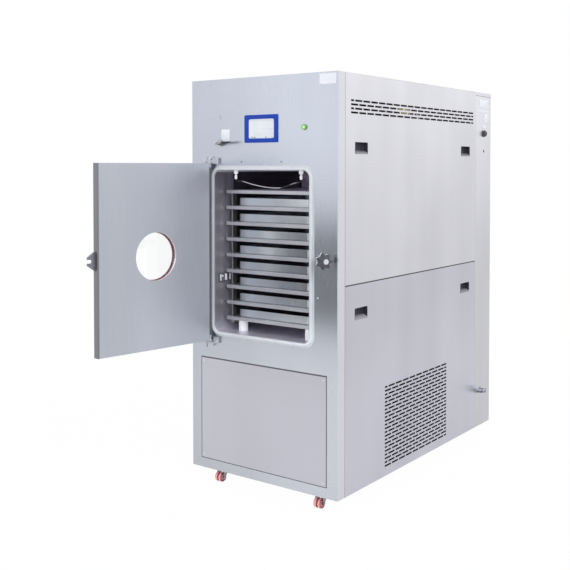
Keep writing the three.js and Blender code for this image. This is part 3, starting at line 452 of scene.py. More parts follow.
def brushed_sheet(name, node=None, tone=1.0, grain="z", seams=None, bands=1.0, roughness=0.33, cool=None):
    """Ground stainless: fine streaks along the grain, broad soft bands across it, dark seamed edges.

    A seam is named by its axis and its end of the node's box; its dark fades out between two distances.
    """
    finish = Finish(name, Metallic=0.92)
    scratches = finish.noise([9 if axis == grain else 1500 for axis in "xyz"], detail=2, roughness=0.6)
    polish = finish.noise([0.5 if axis == grain else 5.5 for axis in "xyz"], detail=1)
    cloud = finish.noise(2.2, detail=1)
    tint = np.array([0.712, 0.714, 0.756]) * tone
    share = finish.fade(scratches * 0.05 + polish * 0.5 * bands + cloud * 0.45, 0.2, 0.8)
    colour = finish.mix(share, tint * 0.92, tint * 1.08)
    if cool:
        at_y, at_z = finish.axes(finish.here())[1:]
        warmer = np.array(cool) * (1.02, 1.0, 0.955)
        blue = finish.mix(finish.fade(at_z, 0.35, 1.35), warmer, cool)
        front = finish.fade(at_y, float(panel_low.y) + 0.001, float(panel_low.y) + 0.004, 1.0, 0.0)
        tinted = finish.node("ShaderNodeMix", {"data_type": "RGBA", "blend_type": "MULTIPLY"}, front, out=2)
        finish.tree.links.new(colour.socket, tinted.socket.node.inputs[6])
        finish.tree.links.new(blue.socket, tinted.socket.node.inputs[7])
        colour = tinted
    if seams:
        low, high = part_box(node)
        point = finish.axes(finish.here())
        for seam, (near, far) in seams.items():
            i = "yz".index(seam[0]) + 1
            inside = point[i] - low[i] if seam[1] == "-" else high[i] - point[i]
            colour = finish.mix(finish.fade(inside, MM * near, MM * far), (0.05, 0.05, 0.055), colour)
    finish.feed(Base_Color=colour)
    matt = scratches * 0.12 + cloud * 0.88
    finish.polished(matt, roughness - 0.04, roughness + 0.05, 0.25, 0.75)
    return finish.bump(scratches, 0.00001, 0.3)


def painted_slot_shadows(finish, low_y, high_y, level, rows):
    """Painted shadow in black rims round punched slots: the slots repeat along each row, and odd rows start
    half a step on.
    """
    length, gap, height, pitch = 50, 12, 5, 16.2
    rim = 1.5
    step = length + gap
    y, z = in_body(finish)[1:]
    row = ((z - MM * (level - pitch / 2)) * (1 / (pitch * MM))).maths("FLOOR")
    shift = row.maths("FLOORED_MODULO", 2.0) * (step / 2 * MM)
    up = (z - MM * (level - height / 2 - rim)).maths("FLOORED_MODULO", pitch * MM)
    along = (y - MM * (low_y - rim) - shift).maths("FLOORED_MODULO", step * MM)
    top_level = level + pitch * (rows - 1)
    field = within(y, low_y - rim, high_y + rim) * within(z, level - height, top_level + height)
    black = (up < MM * (height + 2 * rim)) * (along < MM * (length + 2 * rim))
    return shaded(finish, 1 - field * black * 0.96)


front_steel = brushed_sheet("front_sheet", tone=0.96, bands=0.6, roughness=0.26, cool=(0.92, 0.97, 1.045))
front_x, front_y, front_z = in_body(front_steel)
# Painted shade: the front is painted darker towards its left end.
shaded(front_steel, front_steel.fade(front_x, -0.385, 0.24, 0.87, 1.0))
# Painted shade on the front: a strip behind the open leaf's hinge edge, lines along the gap above and beside
# the access cover, and a painted reflection of the knob to its right.
behind_leaf = within(front_x, -290, -274) * within(front_z, 590, 1322)
above_cover = within(front_x, -332, 334) * within(front_z, 489, 493)
beside_cover = within(front_x, 331, 334) * within(front_z, 42, 490)
knob_mirrored = front_steel.fade((front_z - 0.958).maths("ABSOLUTE"), 0.004, 0.014, 1.0, 0.0)
knob_mirrored = knob_mirrored * front_steel.fade(front_x, 0.318, 0.334)
knob_mirrored = knob_mirrored * front_steel.fade(front_y, 0.002, 0.005, 1.0, 0.0)
painted_front_shade = behind_leaf * 0.72 + above_cover * 0.7 + beside_cover * 0.35 + knob_mirrored * 0.36
shaded(front_steel, 1 - painted_front_shade)
dress("front_panel", front_steel)

cover_steel = brushed_sheet("cover_sheet", tone=0.87, bands=0.5)
shaded(cover_steel, (0.985, 0.985, 1.03))
dress("access_cover", cover_steel)

front_seam = (0.6, 2.2)
upper_seams = {"y-": front_seam, "z-": (2.0, 3.4)}
upper_steel = brushed_sheet("side_sheet_upper", "right_upper_panel", 0.955, seams=upper_seams)
# Painted shade: the upper side sheet darkens towards its foot.
shaded(upper_steel, upper_steel.fade(in_body(upper_steel)[2], 0.98, 1.62, 0.905, 0.98))
painted_slot_shadows(upper_steel, 95, 1230, 1542, 4)
dress("right_upper_panel", upper_steel)

lower_seams = {"y-": front_seam, "z+": (1.2, 2.6)}
lower_steel = brushed_sheet("side_sheet_lower", "right_lower_panel", 0.81, seams=lower_seams)
# Painted shade: the lower side sheet is a touch darker towards its top.
shaded(lower_steel, lower_steel.fade(in_body(lower_steel)[2], 0.35, 0.80, 1.0, 0.93))
shaded(lower_steel, (0.995, 0.99, 1.045))
painted_slot_shadows(lower_steel, 369, 946, 43, 22)
dress("right_lower_panel", lower_steel)

dress("left_panel", brushed_sheet("side_sheet_left", "left_panel", 0.95, seams={"y-": front_seam}))
rear_steel = brushed_sheet("rear_sheet", "rear_cover", 0.99, seams={"z+": (0.6, 2.4)})
# Painted shade: the rear sheet darkens towards its foot.
shaded(rear_steel, rear_steel.fade(in_body(rear_steel)[2], 0.8, 1.6, 0.81, 1.0))
dress("rear_cover", rear_steel)
dress("top_panel", brushed_sheet("top_sheet", grain="y"))


# ---- Sheet fixings ----
# Small stainless pan-head screws with a crossed recess. They hold the access cover, the front sheet
# and the rear cover to the frame behind.


def facing(axis):
    """The axis at unit length and two directions square to it: a level one, and the one left over."""
    axis = np.asarray(axis, float) / np.linalg.norm(axis)
    first = np.cross([0.0, 0.0, 1.0], axis)
    if np.linalg.norm(first) < 1e-6:
        first = np.array([1.0, 0.0, 0.0])
    first /= np.linalg.norm(first)
    return axis, first, np.cross(axis, first)


def turned(profile, sides, centre, axis, reach=None):
    """A profile of (radius, height) points carried round an axis; reach scales its radius at each angle."""
    axis, first, second = facing(axis)
    profile = MM * np.asarray(profile, float)
    turn = np.linspace(0, 2 * np.pi, sides + 1)
    radius = profile[:, :1] * (np.ones_like(turn) if reach is None else reach(turn))
    ring = np.cos(turn)[:, None] * first + np.sin(turn)[:, None] * second
    return np.asarray(centre) + radius[..., None] * ring[None] + profile[:, 1, None, None] * axis


def arc(middle, radius, start, end, steps):
    """Points of a circular arc in the plane of a profile, its angles in degrees."""
    angle = np.radians(np.linspace(start, end, steps))
    return [(middle[0] + radius * c, middle[1] + radius * s) for c, s in zip(np.cos(angle), np.sin(angle))]


def screw_head(centre, axis, radius, height):
    """A domed head: its height falls with the square of the radius, and a crossed recess dips its middle."""
    axis, first, second = facing(axis)
    share = np.concatenate([np.linspace(0, 0.94, 11), [1.0, 1.0]])[:, None]
    turn = np.linspace(0, 2 * np.pi, 33)[None]
    recess = np.exp(-((share / 0.55) ** 6)) * (0.5 + 0.5 * np.cos(4 * turn)) ** 1.5
    rise = height * (0.45 + 0.55 * (1 - share**2)) - 0.45 * height * recess
    rise[-1] = 0
    spread = radius * share * np.ones_like(turn)
    return (
        np.asarray(centre)
        + MM * (spread * np.cos(turn))[..., None] * first
        + MM * (spread * np.sin(turn))[..., None] * second
        + MM * rise[..., None] * axis
    )


def satin_steel(name, pale, dark, roughness):
    """Satin-turned stainless: a fine even mottle in tone and gloss."""
    finish = Finish(name, Metallic=0.95)
    mottle = finish.noise(420, detail=3, roughness=0.6)
    broad = finish.noise(18)
    tint = np.array([0.985, 0.99, 1.03])
    share = finish.fade(mottle * 0.5 + broad * 0.5, 0.3, 0.7)
    finish.coloured(share, dark * tint, pale * tint)
    finish.polished(mottle, roughness - 0.06, roughness + 0.08)
    return finish.bump(mottle, 0.00006, 0.6)


forward = (0, -1, 0)
cover_low, cover_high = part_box("access_cover")
corner_in = 0.014
cover_screws = [
    screw_head((x, cover_low.y, z), forward, 4.2, 2.0)
    for x in (cover_low.x + corner_in, cover_high.x - corner_in)
    for z in (cover_low.z + corner_in, cover_high.z - corner_in)
]
cover_screw_steel = satin_steel("cover_screw_steel", 0.84, 0.74, 0.3)
gather("cover_screws", cover_screws, cover_screw_steel, "cabinet")

dull_steel = satin_steel("dull_steel", 0.30, 0.20, 0.4)
over_door = ((-102.6, 1345), (107.1, 1345))
over_valve = ((-218.5, 1540.5), (-219.5, 1531))
head_screws = [screw_head(place(x, 0, z), forward, 3.4, 1.6) for x, z in over_door]
head_screws += [screw_head(place(x, 0, z), forward, 2.2, 0.8) for x, z in over_valve]
gather("head_screws", head_screws, dull_steel, "cabinet")

rear_low, rear_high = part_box("rear_cover")
rear_screw_in = 0.022
screw_steel = satin_steel("screw_steel", 0.7, 0.5, 0.26)
rear_screws = [
    screw_head((x, rear_high.y, z), (0, 1, 0), 4.2, 2.2)
    for x in (rear_low.x + rear_screw_in, rear_high.x - rear_screw_in)
    for z in np.linspace(rear_low.z + rear_screw_in, rear_high.z - rear_screw_in, 5)
]
gather("rear_screws", rear_screws, screw_steel, "cabinet")


# ---- Bare plates ----
# Thin white enamelled plates, glued on square: one at the top right of the front, one above the
# air valve and four down the service strip. They carry nothing. A plug in the same white closes a
# hole below the door clamp.


def squared_circle(sides, power):
    """Points round a circle, each coordinate raised to a power below 1, which pushes it out to a square."""
    turn = np.linspace(0, 2 * np.pi, sides + 1)
    round_points = np.stack([np.cos(turn), np.sin(turn)], -1)
    return np.sign(round_points) * np.abs(round_points) ** power


def flat_plate(name, low, high, thick, finish):
    """A plate on the face that its two corners lie in: a squared circle with a bevelled rim."""
    low, high = np.array(low, float), np.array(high, float)
    across = [i for i in range(3) if high[i] - low[i] > 1e-6]
    out = ({0, 1, 2} - set(across)).pop()
    normal = np.zeros(3)
    normal[out] = 1 if out == 0 else -1
    half = (high - low)[across] / 2
    corner = squared_circle(40, 0.12)
    rings = [(0.0, 0.0), (1.0, 0.0), (1.0, 0.7), (0.985, 1.0), (0.0, 1.0)]
    skin = np.zeros((len(rings), len(corner), 3))
    skin[:, :] = (low + high) / 2
    for row, (share, rise) in enumerate(rings):
        skin[row][:, across] += corner * (half - (1 - share) * (half if share == 0 else half.min()))
        skin[row] += normal * rise * MM * thick
    return gather(name, [skin], finish, "cabinet")


plate_white = Finish("plate_enamel")
plate_cloud = plate_white.noise(60)
plate_white.coloured(plate_cloud, (0.69, 0.712, 0.775), (0.75, 0.772, 0.83))
plate_white.polished(plate_cloud, 0.28, 0.42)
plate_white.bump(plate_white.noise(900), 0.00005)

plug = screw_head(place(288.5, 0, 799.7), forward, 3.4, 1.2)
gather("hole_plug", [plug], plate_white, "cabinet")

stand_off = 0.2
front_plates = {"corner": (297, 376, 1651, 1693, 1.2), "valve": (-215, -167.5, 1433, 1484, 0.8)}
for word, (x0, x1, z0, z1, thick) in front_plates.items():
    flat_plate(f"{word}_plate", place(x0, -stand_off, z0), place(x1, -stand_off, z1), thick, plate_white)

side_face = (panel_high.x - datum[0]) / MM
strip_x = side_face + stand_off
strip_plates = {
    "upper": (1303, 1420, 1624, 1665),
    "second": (1290, 1415, 1602, 1612),
    "third": (1358, 1417, 1550, 1595),
    "lower": (1342, 1384, 1520, 1535),
}
for word, (y0, y1, z0, z1) in strip_plates.items():
    flat_plate(f"strip_plate_{word}", place(strip_x, y0, z0), place(strip_x, y1, z1), 0.6, plate_white)


# ---- Pull pockets ----
# Eight black moulded cups, one pushed into each pressed pocket of the side panels, with a thin rim
# that hides the cut edge. They are how the panels are lifted off.

cup_plastic = Finish("cup_plastic", Specular_IOR_Level=0.3)
cup_grain = cup_plastic.noise(700, detail=2)
cup_up = cup_plastic.axes(cup_plastic.node("ShaderNodeTexCoord", {}, out="Normal"))[2]
cup_out = in_body(cup_plastic)[0].maths("ABSOLUTE")
cup_lit = cup_plastic.fade(cup_up, 0.1, 0.7) * cup_plastic.fade(cup_out, 0.360, 0.379, 0.35, 1.0)
cup_black = cup_plastic.mix(cup_grain, (0.020, 0.018, 0.028), (0.034, 0.031, 0.044))
cup_plastic.coloured(cup_lit, cup_black, (0.34, 0.33, 0.37))
cup_plastic.polished(cup_grain, 0.42, 0.6)
cup_plastic.bump(cup_grain, 0.0002)

cup_half = (48.4, 23.4)
cup_deep = 21.4
cup_slope = 11.0
cup_profile = np.array([
    (1.02, 0.3), (1.0, 0.3), (0.985, -1.0), (0.97, -6.0), (0.955, -13.0), (0.94, -18.0),
    (0.86, -20.6), (0.7, -cup_deep), (0.0, -cup_deep),
])
pocket_y = (173, 1144.5)
pocket_z = (727, 1400)


def pull_cup(side_of, y, z):
    """A cup: squared circles shrink inwards along its profile, their lower half lifted to slope the floor."""
    across, up = squared_circle(48, 0.22).T
    share, depth = cup_profile[:, :1], cup_profile[:, 1:]
    lift = np.minimum(0, up) * depth / cup_deep * cup_slope
    skin = np.empty((len(cup_profile), len(up), 3))
    skin[..., 0] = side_of * (side_face + depth)
    skin[..., 1] = y + cup_half[0] * share * across
    skin[..., 2] = z + cup_half[1] * share * up + lift * share
    return datum + MM * skin


cups = [pull_cup(side_of, y, z) for side_of in (1, -1) for y in pocket_y for z in pocket_z]
gather("pull_cups", cups, cup_plastic, "cabinet")


# ---- Chamber ----
# One box of thick polished stainless, welded along the corners and ground smooth. The wall at the
# hinge side carries painted upright bands of light and shade from the door; the other walls are
# painted lighter near the floor and the roof, and above the floor they glow faintly as painted light.


def softened(node, finish, body="cabinet", edge=0.0):
    """The node's own form as one joined skin, its curves shaded round and its sharp edges broken."""
    mesh = frame["nodes"][node].data.copy()
    shape = bmesh.new()
    shape.from_mesh(mesh)
    bmesh.ops.remove_doubles(shape, verts=shape.verts, dist=2e-6)
    bmesh.ops.dissolve_limit(shape, angle_limit=math.radians(0.4), verts=shape.verts, edges=shape.edges)
    shape.to_mesh(mesh)
    shape.free()
    mesh.materials.clear()
    mesh.materials.append(finish.material)
    mesh.shade_smooth()
    mesh.set_sharp_from_angle(angle=math.radians(32))
    piece = bpy.data.objects.new(f"{node}_skin", mesh)
    bpy.context.scene.collection.objects.link(piece)
    if edge:
        bevel = piece.modifiers.new("broken_edge", "BEVEL")
        bevel.width = edge
        bevel.segments = 2
        bevel.limit_method = "ANGLE"
        bevel.angle_limit = math.radians(40)
        bevel.harden_normals = True
    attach(piece, body)
    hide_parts(node)
    return piece


mirror_steel = Finish("chamber_steel", Metallic=0.6, Emission_Strength=0.8)
wipe = mirror_steel.noise((30, 30, 5), detail=2)
haze = mirror_steel.noise(5, detail=2)
wall_share = mirror_steel.fade(haze * 0.7 + wipe * 0.3, 0.3, 0.7)
mirror_steel.coloured(wall_share, (0.52, 0.508, 0.595), (0.62, 0.608, 0.695))
mirror_steel.polished(wipe, 0.34, 0.44)

wall_x, wall_y, wall_z = in_body(mirror_steel)
# Painted light and shade: bands by depth on the hinge-side wall, lighter near the floor and roof elsewhere.
hinge_wall = within(wall_x, -270, -250)
near_floor = mirror_steel.fade(wall_z, 0.605, 0.665, 1.0, 0.0)
near_roof = mirror_steel.fade(wall_z, 1.195, 1.225)
bands = mirror_steel.fade(wall_y, 0.03, 0.06, 0.52, 0.66)
bands = bands + mirror_steel.fade(wall_y, 0.075, 0.115, 0.0, 0.98)
bands = bands + mirror_steel.fade(wall_y, 0.124, 0.140, 0.0, -1.36)
bands = bands * (1 - near_roof * mirror_steel.fade(wall_y, 0.05, 0.12, 0.1, 0.6))
foot_light = mirror_steel.fade(wall_y, 0.0, 0.14, 1.15, 1.55)
banded = bands * (1 - near_floor) + near_floor * foot_light
plain = 1 + near_floor * 0.4 + mirror_steel.fade(wall_z, 1.18, 1.25) * 0.6
shaded(mirror_steel, banded * hinge_wall + plain * (1 - hinge_wall))
# Painted light: a faint glow on the walls away from the hinge side and the floor.
painted_glow_share = (1 - hinge_wall) * (1 - near_floor)
mirror_steel.feed(Emission_Color=mirror_steel.mix(painted_glow_share, (0, 0, 0), (0.016, 0.011, 0.019)))
mirror_steel.bump(haze, 0.0004, 0.3)
softened("chamber", mirror_steel)


# ---- Chamber gasket ----
# A white silicone lip, moulded in one loop with radiused corners and pressed over the chamber's
# rim. Its front is a soft round that the door flattens; a groove in its back grips the steel.

rim_half = (264.0, 361.0)
rim_radius = 42.0
rim_level = 960.0
lip_middle = -5.4
lip_half = 6.6
lip_root = -1.3
lip_stand = 10.7
lip_turn = np.linspace(0, np.pi, 17)
lip_across = lip_middle + lip_half * np.sign(np.cos(lip_turn)) * np.abs(np.cos(lip_turn)) ** 0.55
lip_out = lip_root - lip_stand * np.abs(np.sin(lip_turn)) ** 0.6
lip_front = np.stack([lip_across, lip_out], -1)
lip_skirt = [(8.0, -0.3), (8.0, -0.8), (7.2, lip_root)]
lip_back = [(-12.0, -0.3), (-6.3, -0.3), (-6.3, -4.3), (0.3, -4.3), (0.3, -0.3)]
lip_profile = np.vstack([lip_skirt, lip_front, lip_back])
corner_steps = 13
quarters = [np.linspace(start, start + 90, corner_steps) for start in (0, 90, 180, 270)]
corner_turn = np.radians(np.concatenate(quarters))
corner_sign = np.repeat([[1, 1], [-1, 1], [-1, -1], [1, -1]], corner_steps, axis=0)
corner_middle = corner_sign * (np.array(rim_half) - rim_radius)
lip_skin = np.empty((len(corner_turn), len(lip_profile) + 1, 3))
for column, (grow, out) in enumerate([*lip_profile, lip_profile[0]]):
    lip_skin[:, column, 0] = corner_middle[:, 0] + (rim_radius + grow) * np.cos(corner_turn)
    lip_skin[:, column, 1] = out
    lip_skin[:, column, 2] = rim_level + corner_middle[:, 1] + (rim_radius + grow) * np.sin(corner_turn)

silicone = Finish("white_silicone", Subsurface_Weight=0.15, Subsurface_Radius=(0.004, 0.004, 0.004))
bloom = silicone.noise(35, detail=3)
silicone_tone = silicone.mix(bloom, (0.72, 0.74, 0.80), (0.82, 0.84, 0.88))
lip_x, lip_y, lip_z = in_body(silicone)
# Painted shade: the flank near the root darkens, most on the hinge side; the hinge side is darker all
# through, and the loop darkens towards its top.
hinge_flank_shade = silicone.fade(lip_y, -0.011, -0.002) * silicone.fade(lip_x, -0.262, -0.24, 1.0, 0.12)
silicone.coloured(hinge_flank_shade, silicone_tone, (0.40, 0.41, 0.46))
hinge_shade = silicone.fade(lip_x, -0.262, -0.24, 0.70, 1.0)
shaded(silicone, silicone.fade(lip_z, 0.60, 0.75, 1.0, 0.80) * hinge_shade)
silicone.polished(bloom, 0.36, 0.5)
silicone.bump(silicone.noise(300), 0.0002)
lip_faces = grid_faces(*lip_skin.shape[:2], ring=True)
lip = add_mesh("gasket_lip", datum + MM * lip_skin, lip_faces, silicone, "cabinet")
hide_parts("chamber_gasket")


# ---- Heated shelves and rack ----
# Nine heated shelves of ground stainless, hung on four upright flats. Their front edges are the
# brightest metal in the chamber; the faces are ground along the shelf.

shelf_steel = Finish("shelf_steel", Metallic=0.7)
shelf_streak = shelf_steel.noise((9, 900, 900), detail=2)
shelf_cloud = shelf_steel.noise(6)
shelf_share = shelf_steel.fade(shelf_streak * 0.2 + shelf_cloud * 0.8, 0.3, 0.7)
shelf_steel.coloured(shelf_share, (0.56, 0.56, 0.605), (0.67, 0.67, 0.715))
shelf_steel.polished(shelf_streak, 0.30, 0.44)
shelf_steel.bump(shelf_streak, 0.00002, 0.4)
for number in range(1, 10):
    softened(f"shelf_{number}", shelf_steel, edge=0.0012)

rack_steel = satin_steel("rack_steel", 0.54, 0.42, 0.36)
softened("shelf_rack", rack_steel, edge=0.0005)


# ---- Drying trays ----
# Deep-drawn trays of thin bright-rolled stainless, one on each shelf but the top one. Rolling
# leaves them smoother than the shelves, with faint long ripples.

tray_steel = Finish("tray_steel", Metallic=0.9)
ripple = tray_steel.noise((7, 7, 3), detail=1)
rolled = tray_steel.noise((60, 60, 5), detail=2)
tray_share = tray_steel.fade(ripple * 0.9 + rolled * 0.1, 0.3, 0.7)
tray_steel.coloured(tray_share, (0.60, 0.63, 0.68), (0.70, 0.73, 0.78))
lowest_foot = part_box("tray_9")[0].z
tray_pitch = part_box("tray_8")[0].z - lowest_foot
in_tray = in_body(tray_steel)
above_foot = (in_tray[2] - (lowest_foot - datum[2])).maths("MODULO", tray_pitch)
# Painted shadow along the foot of each tray, where it stands on the shelf, and painted shade down one drawn
# corner.
tray_foot_shadow = above_foot < MM * 3.4
tray_corner_shade = within(in_tray[0], -184.5, -177.5)
shaded(tray_steel, (1 - tray_foot_shadow * 0.42) * (1 - tray_corner_shade * 0.5))
tray_steel.polished(rolled, 0.24, 0.26)
tray_steel.bump(ripple, 0.0007, 0.5)
for number in range(2, 10):
    softened(f"tray_{number}", tray_steel)


# ---- Nylon feet and roof glands ----
# Turned white nylon: two feet under the front of the rack and two glands in the chamber roof. Each
# is a bar turned to size, with tool rings left on it; the glands' nuts are milled to twelve flats.

nylon_depth = (0.006, 0.006, 0.006)
# Painted light: the nylon glows faintly, so the feet and glands stay pale where they stand in shade.
nylon = Finish("white_nylon", Subsurface_Weight=0.2, Subsurface_Radius=nylon_depth, Emission_Strength=0.26)
tool_rings = nylon.noise((4, 4, 1400), detail=1)
nylon.coloured(nylon.noise(40), (0.88, 0.89, 0.92), (0.95, 0.955, 0.97))
nylon.polished(tool_rings, 0.34, 0.48)
nylon.feed(Emission_Color=nylon.mix(tool_rings, (0.90, 0.91, 0.97), (0.96, 0.97, 1.0)))
nylon.bump(tool_rings, 0.0001)
upward = (0, 0, 1)


def milled(flats, cut, power=1):
    """Radius round a milled bar, as a share: it dips by the cut in the middle of each flat, as a sine."""

    def reach(turn):
        return 1 - cut * np.abs(np.sin(flats / 2 * turn)) ** power

    return reach


def under_side(node):
    """The middle of the lower face of a node's box, and the size of the box in millimetres."""
    low, high = [np.array(corner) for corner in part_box(node)]
    middle = (low + high) / 2
    return (middle[0], middle[1], low[2]), (high - low) / MM


corner_round = 1.5
gland_tail = [
    (0, 0), (2.4, 0), (4.2, 1.0), (5.5, 4), (5.8, 8), (6.0, 12), (5.4, 16), (3.2, 18), (2.8, 19.5),
    (2.8, 21.6),
]
gland_nut = [
    (5.6, 22.4), (8.2, 24), (9.2, 26.5), (9.2, 34.5), (8.4, 37.5), (6.6, 39.5), (6.6, 43.6), (6.2, 44),
    (0, 44),
]
for side_word in ("left", "right"):
    foot_base, (foot_wide, _, foot_tall) = under_side(f"foot_{side_word}")
    inner = foot_wide / 2 - corner_round
    below = [(0, 0), (inner, 0), *arc((inner, corner_round), corner_round, -90, 0, 5)]
    above = [*arc((inner, foot_tall - corner_round), corner_round, 0, 90, 5), (0, foot_tall)]
    foot_skin = turned(below + above, 48, foot_base, upward)
    foot = gather(f"turned_foot_{side_word}", [foot_skin], nylon, "cabinet")
    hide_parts(f"foot_{side_word}")

    gland_base = under_side(f"gland_{side_word}")[0]
    gland_skin = turned(gland_tail + gland_nut, 72, gland_base, upward, milled(12, 0.018))
    gland = gather(f"turned_gland_{side_word}", [gland_skin], nylon, "cabinet")
    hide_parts(f"gland_{side_word}")


# ---- Probe socket ----
# A small dark moulding on the chamber's left wall, where the tray probes plug in. It holds three
# upright bright contact bars, a shorter one beside them and a grey bridge between two of them.

socket_dark = Finish("socket_moulding", Roughness=0.4)
moulding_grain = socket_dark.noise(500)
socket_dark.coloured(moulding_grain, (0.10, 0.10, 0.12), (0.16, 0.16, 0.18))
# Painted light: the contact bars glow faintly, so they stay bright inside the dark chamber.
socket_bright = Finish("socket_contact", Metallic=0.2, Roughness=0.35, Emission_Strength=0.16)
contact_tone = socket_bright.noise(200)
contact_bright = socket_bright.mix(contact_tone, (0.80, 0.79, 0.86), (0.92, 0.91, 0.97))
socket_bright.feed(Base_Color=contact_bright, Emission_Color=contact_bright)
socket_grey = satin_steel("socket_steel", 0.9, 0.75, 0.3)


def block_skin(low, high):
    """A block along x: a squared circle for its section, closed at both ends, its outer rim eased by 1 mm."""
    low, high = np.array(low, float), np.array(high, float)
    half = (high - low)[1:] / 2
    section = squared_circle(32, 0.15)
    rows = [(low[0], 0.0), (low[0], 1.0), (high[0] - 1.0, 1.0), (high[0], 0.98), (high[0], 0.0)]
    skin = np.empty((len(rows), len(section), 3))
    for row, (x, share) in enumerate(rows):
        skin[row, :, 0] = x
        skin[row, :, 1:] = (low + high)[1:] / 2 + share * half * section
    return datum + MM * skin


wall_face = -258.0
moulding_face = wall_face + 6.5
socket_block = block_skin((wall_face, 31, 822), (wall_face + 7, 106, 858))
gather("probe_socket", [socket_block], socket_dark, "cabinet")
upright_bars = ((33, 38), (66, 76), (93, 102))
bars = [block_skin((moulding_face, y0, 826), (wall_face + 10, y1, 854)) for y0, y1 in upright_bars]
bars.append(block_skin((moulding_face, 44, 843), (wall_face + 9, 53, 849)))
gather("probe_contacts", bars, socket_bright, "cabinet")
bridge = block_skin((moulding_face, 76.5, 826), (wall_face + 9, 92.5, 854))
gather("probe_bridge", [bridge], socket_grey, "cabinet")


# ---- Door leaf ----
# A folded stainless leaf, ground with an upright grain inside and out. Its inner face is a touch
# duller than the cabinet, because it is wiped down after every batch. Its colour is painted darker
# towards the free end as shade, with deeper painted shade along the free edge and at the hinge end.

leaf_steel = Finish("door_steel", Metallic=0.78)
leaf_low, leaf_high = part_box("door_leaf")
leaf_grain = leaf_steel.noise((900, 900, 7), detail=2, roughness=0.6)
leaf_polish = leaf_steel.noise((4, 4, 0.6), detail=1)
leaf_tone = leaf_steel.fade(leaf_grain * 0.5 + leaf_polish * 0.5, 0.3, 0.7)
leaf_steel.coloured(leaf_tone, (0.57, 0.595, 0.66), (0.67, 0.70, 0.77))
leaf_y = leaf_steel.axes(leaf_steel.here())[1] - leaf_low.y
leaf_span = leaf_high.y - leaf_low.y
# Painted shade: darker towards the free end, and darker still along the free edge and at the hinge end.
shaded(leaf_steel, leaf_steel.fade(leaf_y, 0.03, leaf_span * 0.7, 0.82, 1.02))
shaded(leaf_steel, leaf_steel.fade(leaf_y, 0.0375, 0.0395, 0.45, 1.0))
shaded(leaf_steel, leaf_steel.fade(leaf_y, leaf_span - 0.0085, leaf_span - 0.0045, 1.0, 0.3))
leaf_steel.polished(leaf_grain, 0.34, 0.46)
leaf_steel.bump(leaf_grain, 0.00005, 0.6)
softened("door_leaf", leaf_steel, "door", edge=0.0008).data.shade_flat()


# ---- Door window ----
# A red silicone ring seats a thick round pane, and a turned steel flange holds both from outside.
# They are turned about the window's own axis, so they swing with the leaf. The pane is clear, with
# a faint smear left by wiping.

hinge_joint = next(joint for joint in frame["joints"] if joint["name"] == "door_hinge")
door_open = math.radians(100)


def leaf_place(x, y, z):
    """A point drawn with the door shut, turned with the leaf to where it stands open."""
    pin = np.array(hinge_joint["pos_m"][:2])
    out = place(x, y, z)
    cos, sin = math.cos(door_open), math.sin(door_open)
    out[:2] = pin + np.array([[cos, sin], [-sin, cos]]) @ (out[:2] - pin)
    return out


inward = np.array([math.sin(door_open), math.cos(door_open), 0.0])
window_middle = leaf_place(-6, 0, 955)
red_silicone = Finish("red_silicone")
red_cloud = red_silicone.noise(40)
red_silicone.coloured(red_cloud, (0.56, 0.055, 0.075), (0.66, 0.085, 0.105))
red_silicone.polished(red_cloud, 0.34, 0.46)
red_silicone.bump(red_silicone.noise(400), 0.0001)
window_sides = 96
seal_lip = arc((100.8, -22.3), 1.5, 90, 270, 7)
seal_section = [(109, -23.8), (109, -20.8), (100.8, -20.8), *seal_lip, (109, -23.8)]
seal_skin = turned(seal_section, window_sides, window_middle, inward)
window_seal = gather("door_window_seal", [seal_skin], red_silicone, "door")
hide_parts("window_seal")

pane_glass = Finish("pane_glass", IOR=1.5, Transmission_Weight=1.0)
smear = pane_glass.noise(14, detail=3)
pane_glass.coloured(smear, (0.985, 1.0, 0.995), (1.0, 1.0, 1.0))
pane_glass.polished(smear, 0.0, 0.04, 0.35, 0.75)
pane_section = [(0, -36.1), (108.2, -36.1), (109, -35.3), (109, -24.9), (108.2, -24.1), (0, -24.1)]
pane_skin = turned(pane_section, window_sides, window_middle, inward)
pane = gather("door_window_pane", [pane_skin], pane_glass, "door")
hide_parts("window_glass")

flange_steel = satin_steel("flange_steel", 0.66, 0.52, 0.28)
flange_round = arc((125.5, -43.3), 2.5, -90, 0, 5)
flange_section = [
    (98, -40.8), (98, -44.3), (99.5, -45.8), (125.5, -45.8), *flange_round, (128, -40.8), (98, -40.8),
]
flange_skin = turned(flange_section, window_sides, window_middle, inward)
flange = gather("door_window_flange", [flange_skin], flange_steel, "door")
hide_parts("window_ring")


# ---- Hinges ----
# Two machined brackets, each bolted to the front by one low-headed hexagon bolt, with a pin that
# enters the end of the leaf and is held by a nut.


def chromed(name, pale, dark, roughness, shade):
    """Bright plating with painted shade: pale where it faces up or towards the hinges, darker where it faces
    the floor.
    """
    finish = satin_steel(name, pale, dark, roughness)
    facing_x, _, facing_z = finish.axes(finish.node("ShaderNodeTexCoord", {}, out="Normal"))
    shaded(finish, (0.97, 0.985, 1.06))
    return shaded(finish, finish.fade(facing_z - facing_x * 0.4, -0.75, 0.35, shade, 1.0))


hinge_steel = chromed("hinge_steel", 0.66, 0.56, 0.24, 0.66)
softened("hinge_bracket_upper", hinge_steel, edge=0.0008)
softened("hinge_bracket_lower", hinge_steel, edge=0.0008)


def six_sided(turn):
    """Radius of a hexagon as a share of its corner's, by the angle from the middle of the nearest flat."""
    from_flat = (turn + math.pi / 6) % (math.pi / 3) - math.pi / 6
    return math.cos(math.pi / 6) / np.cos(from_flat)


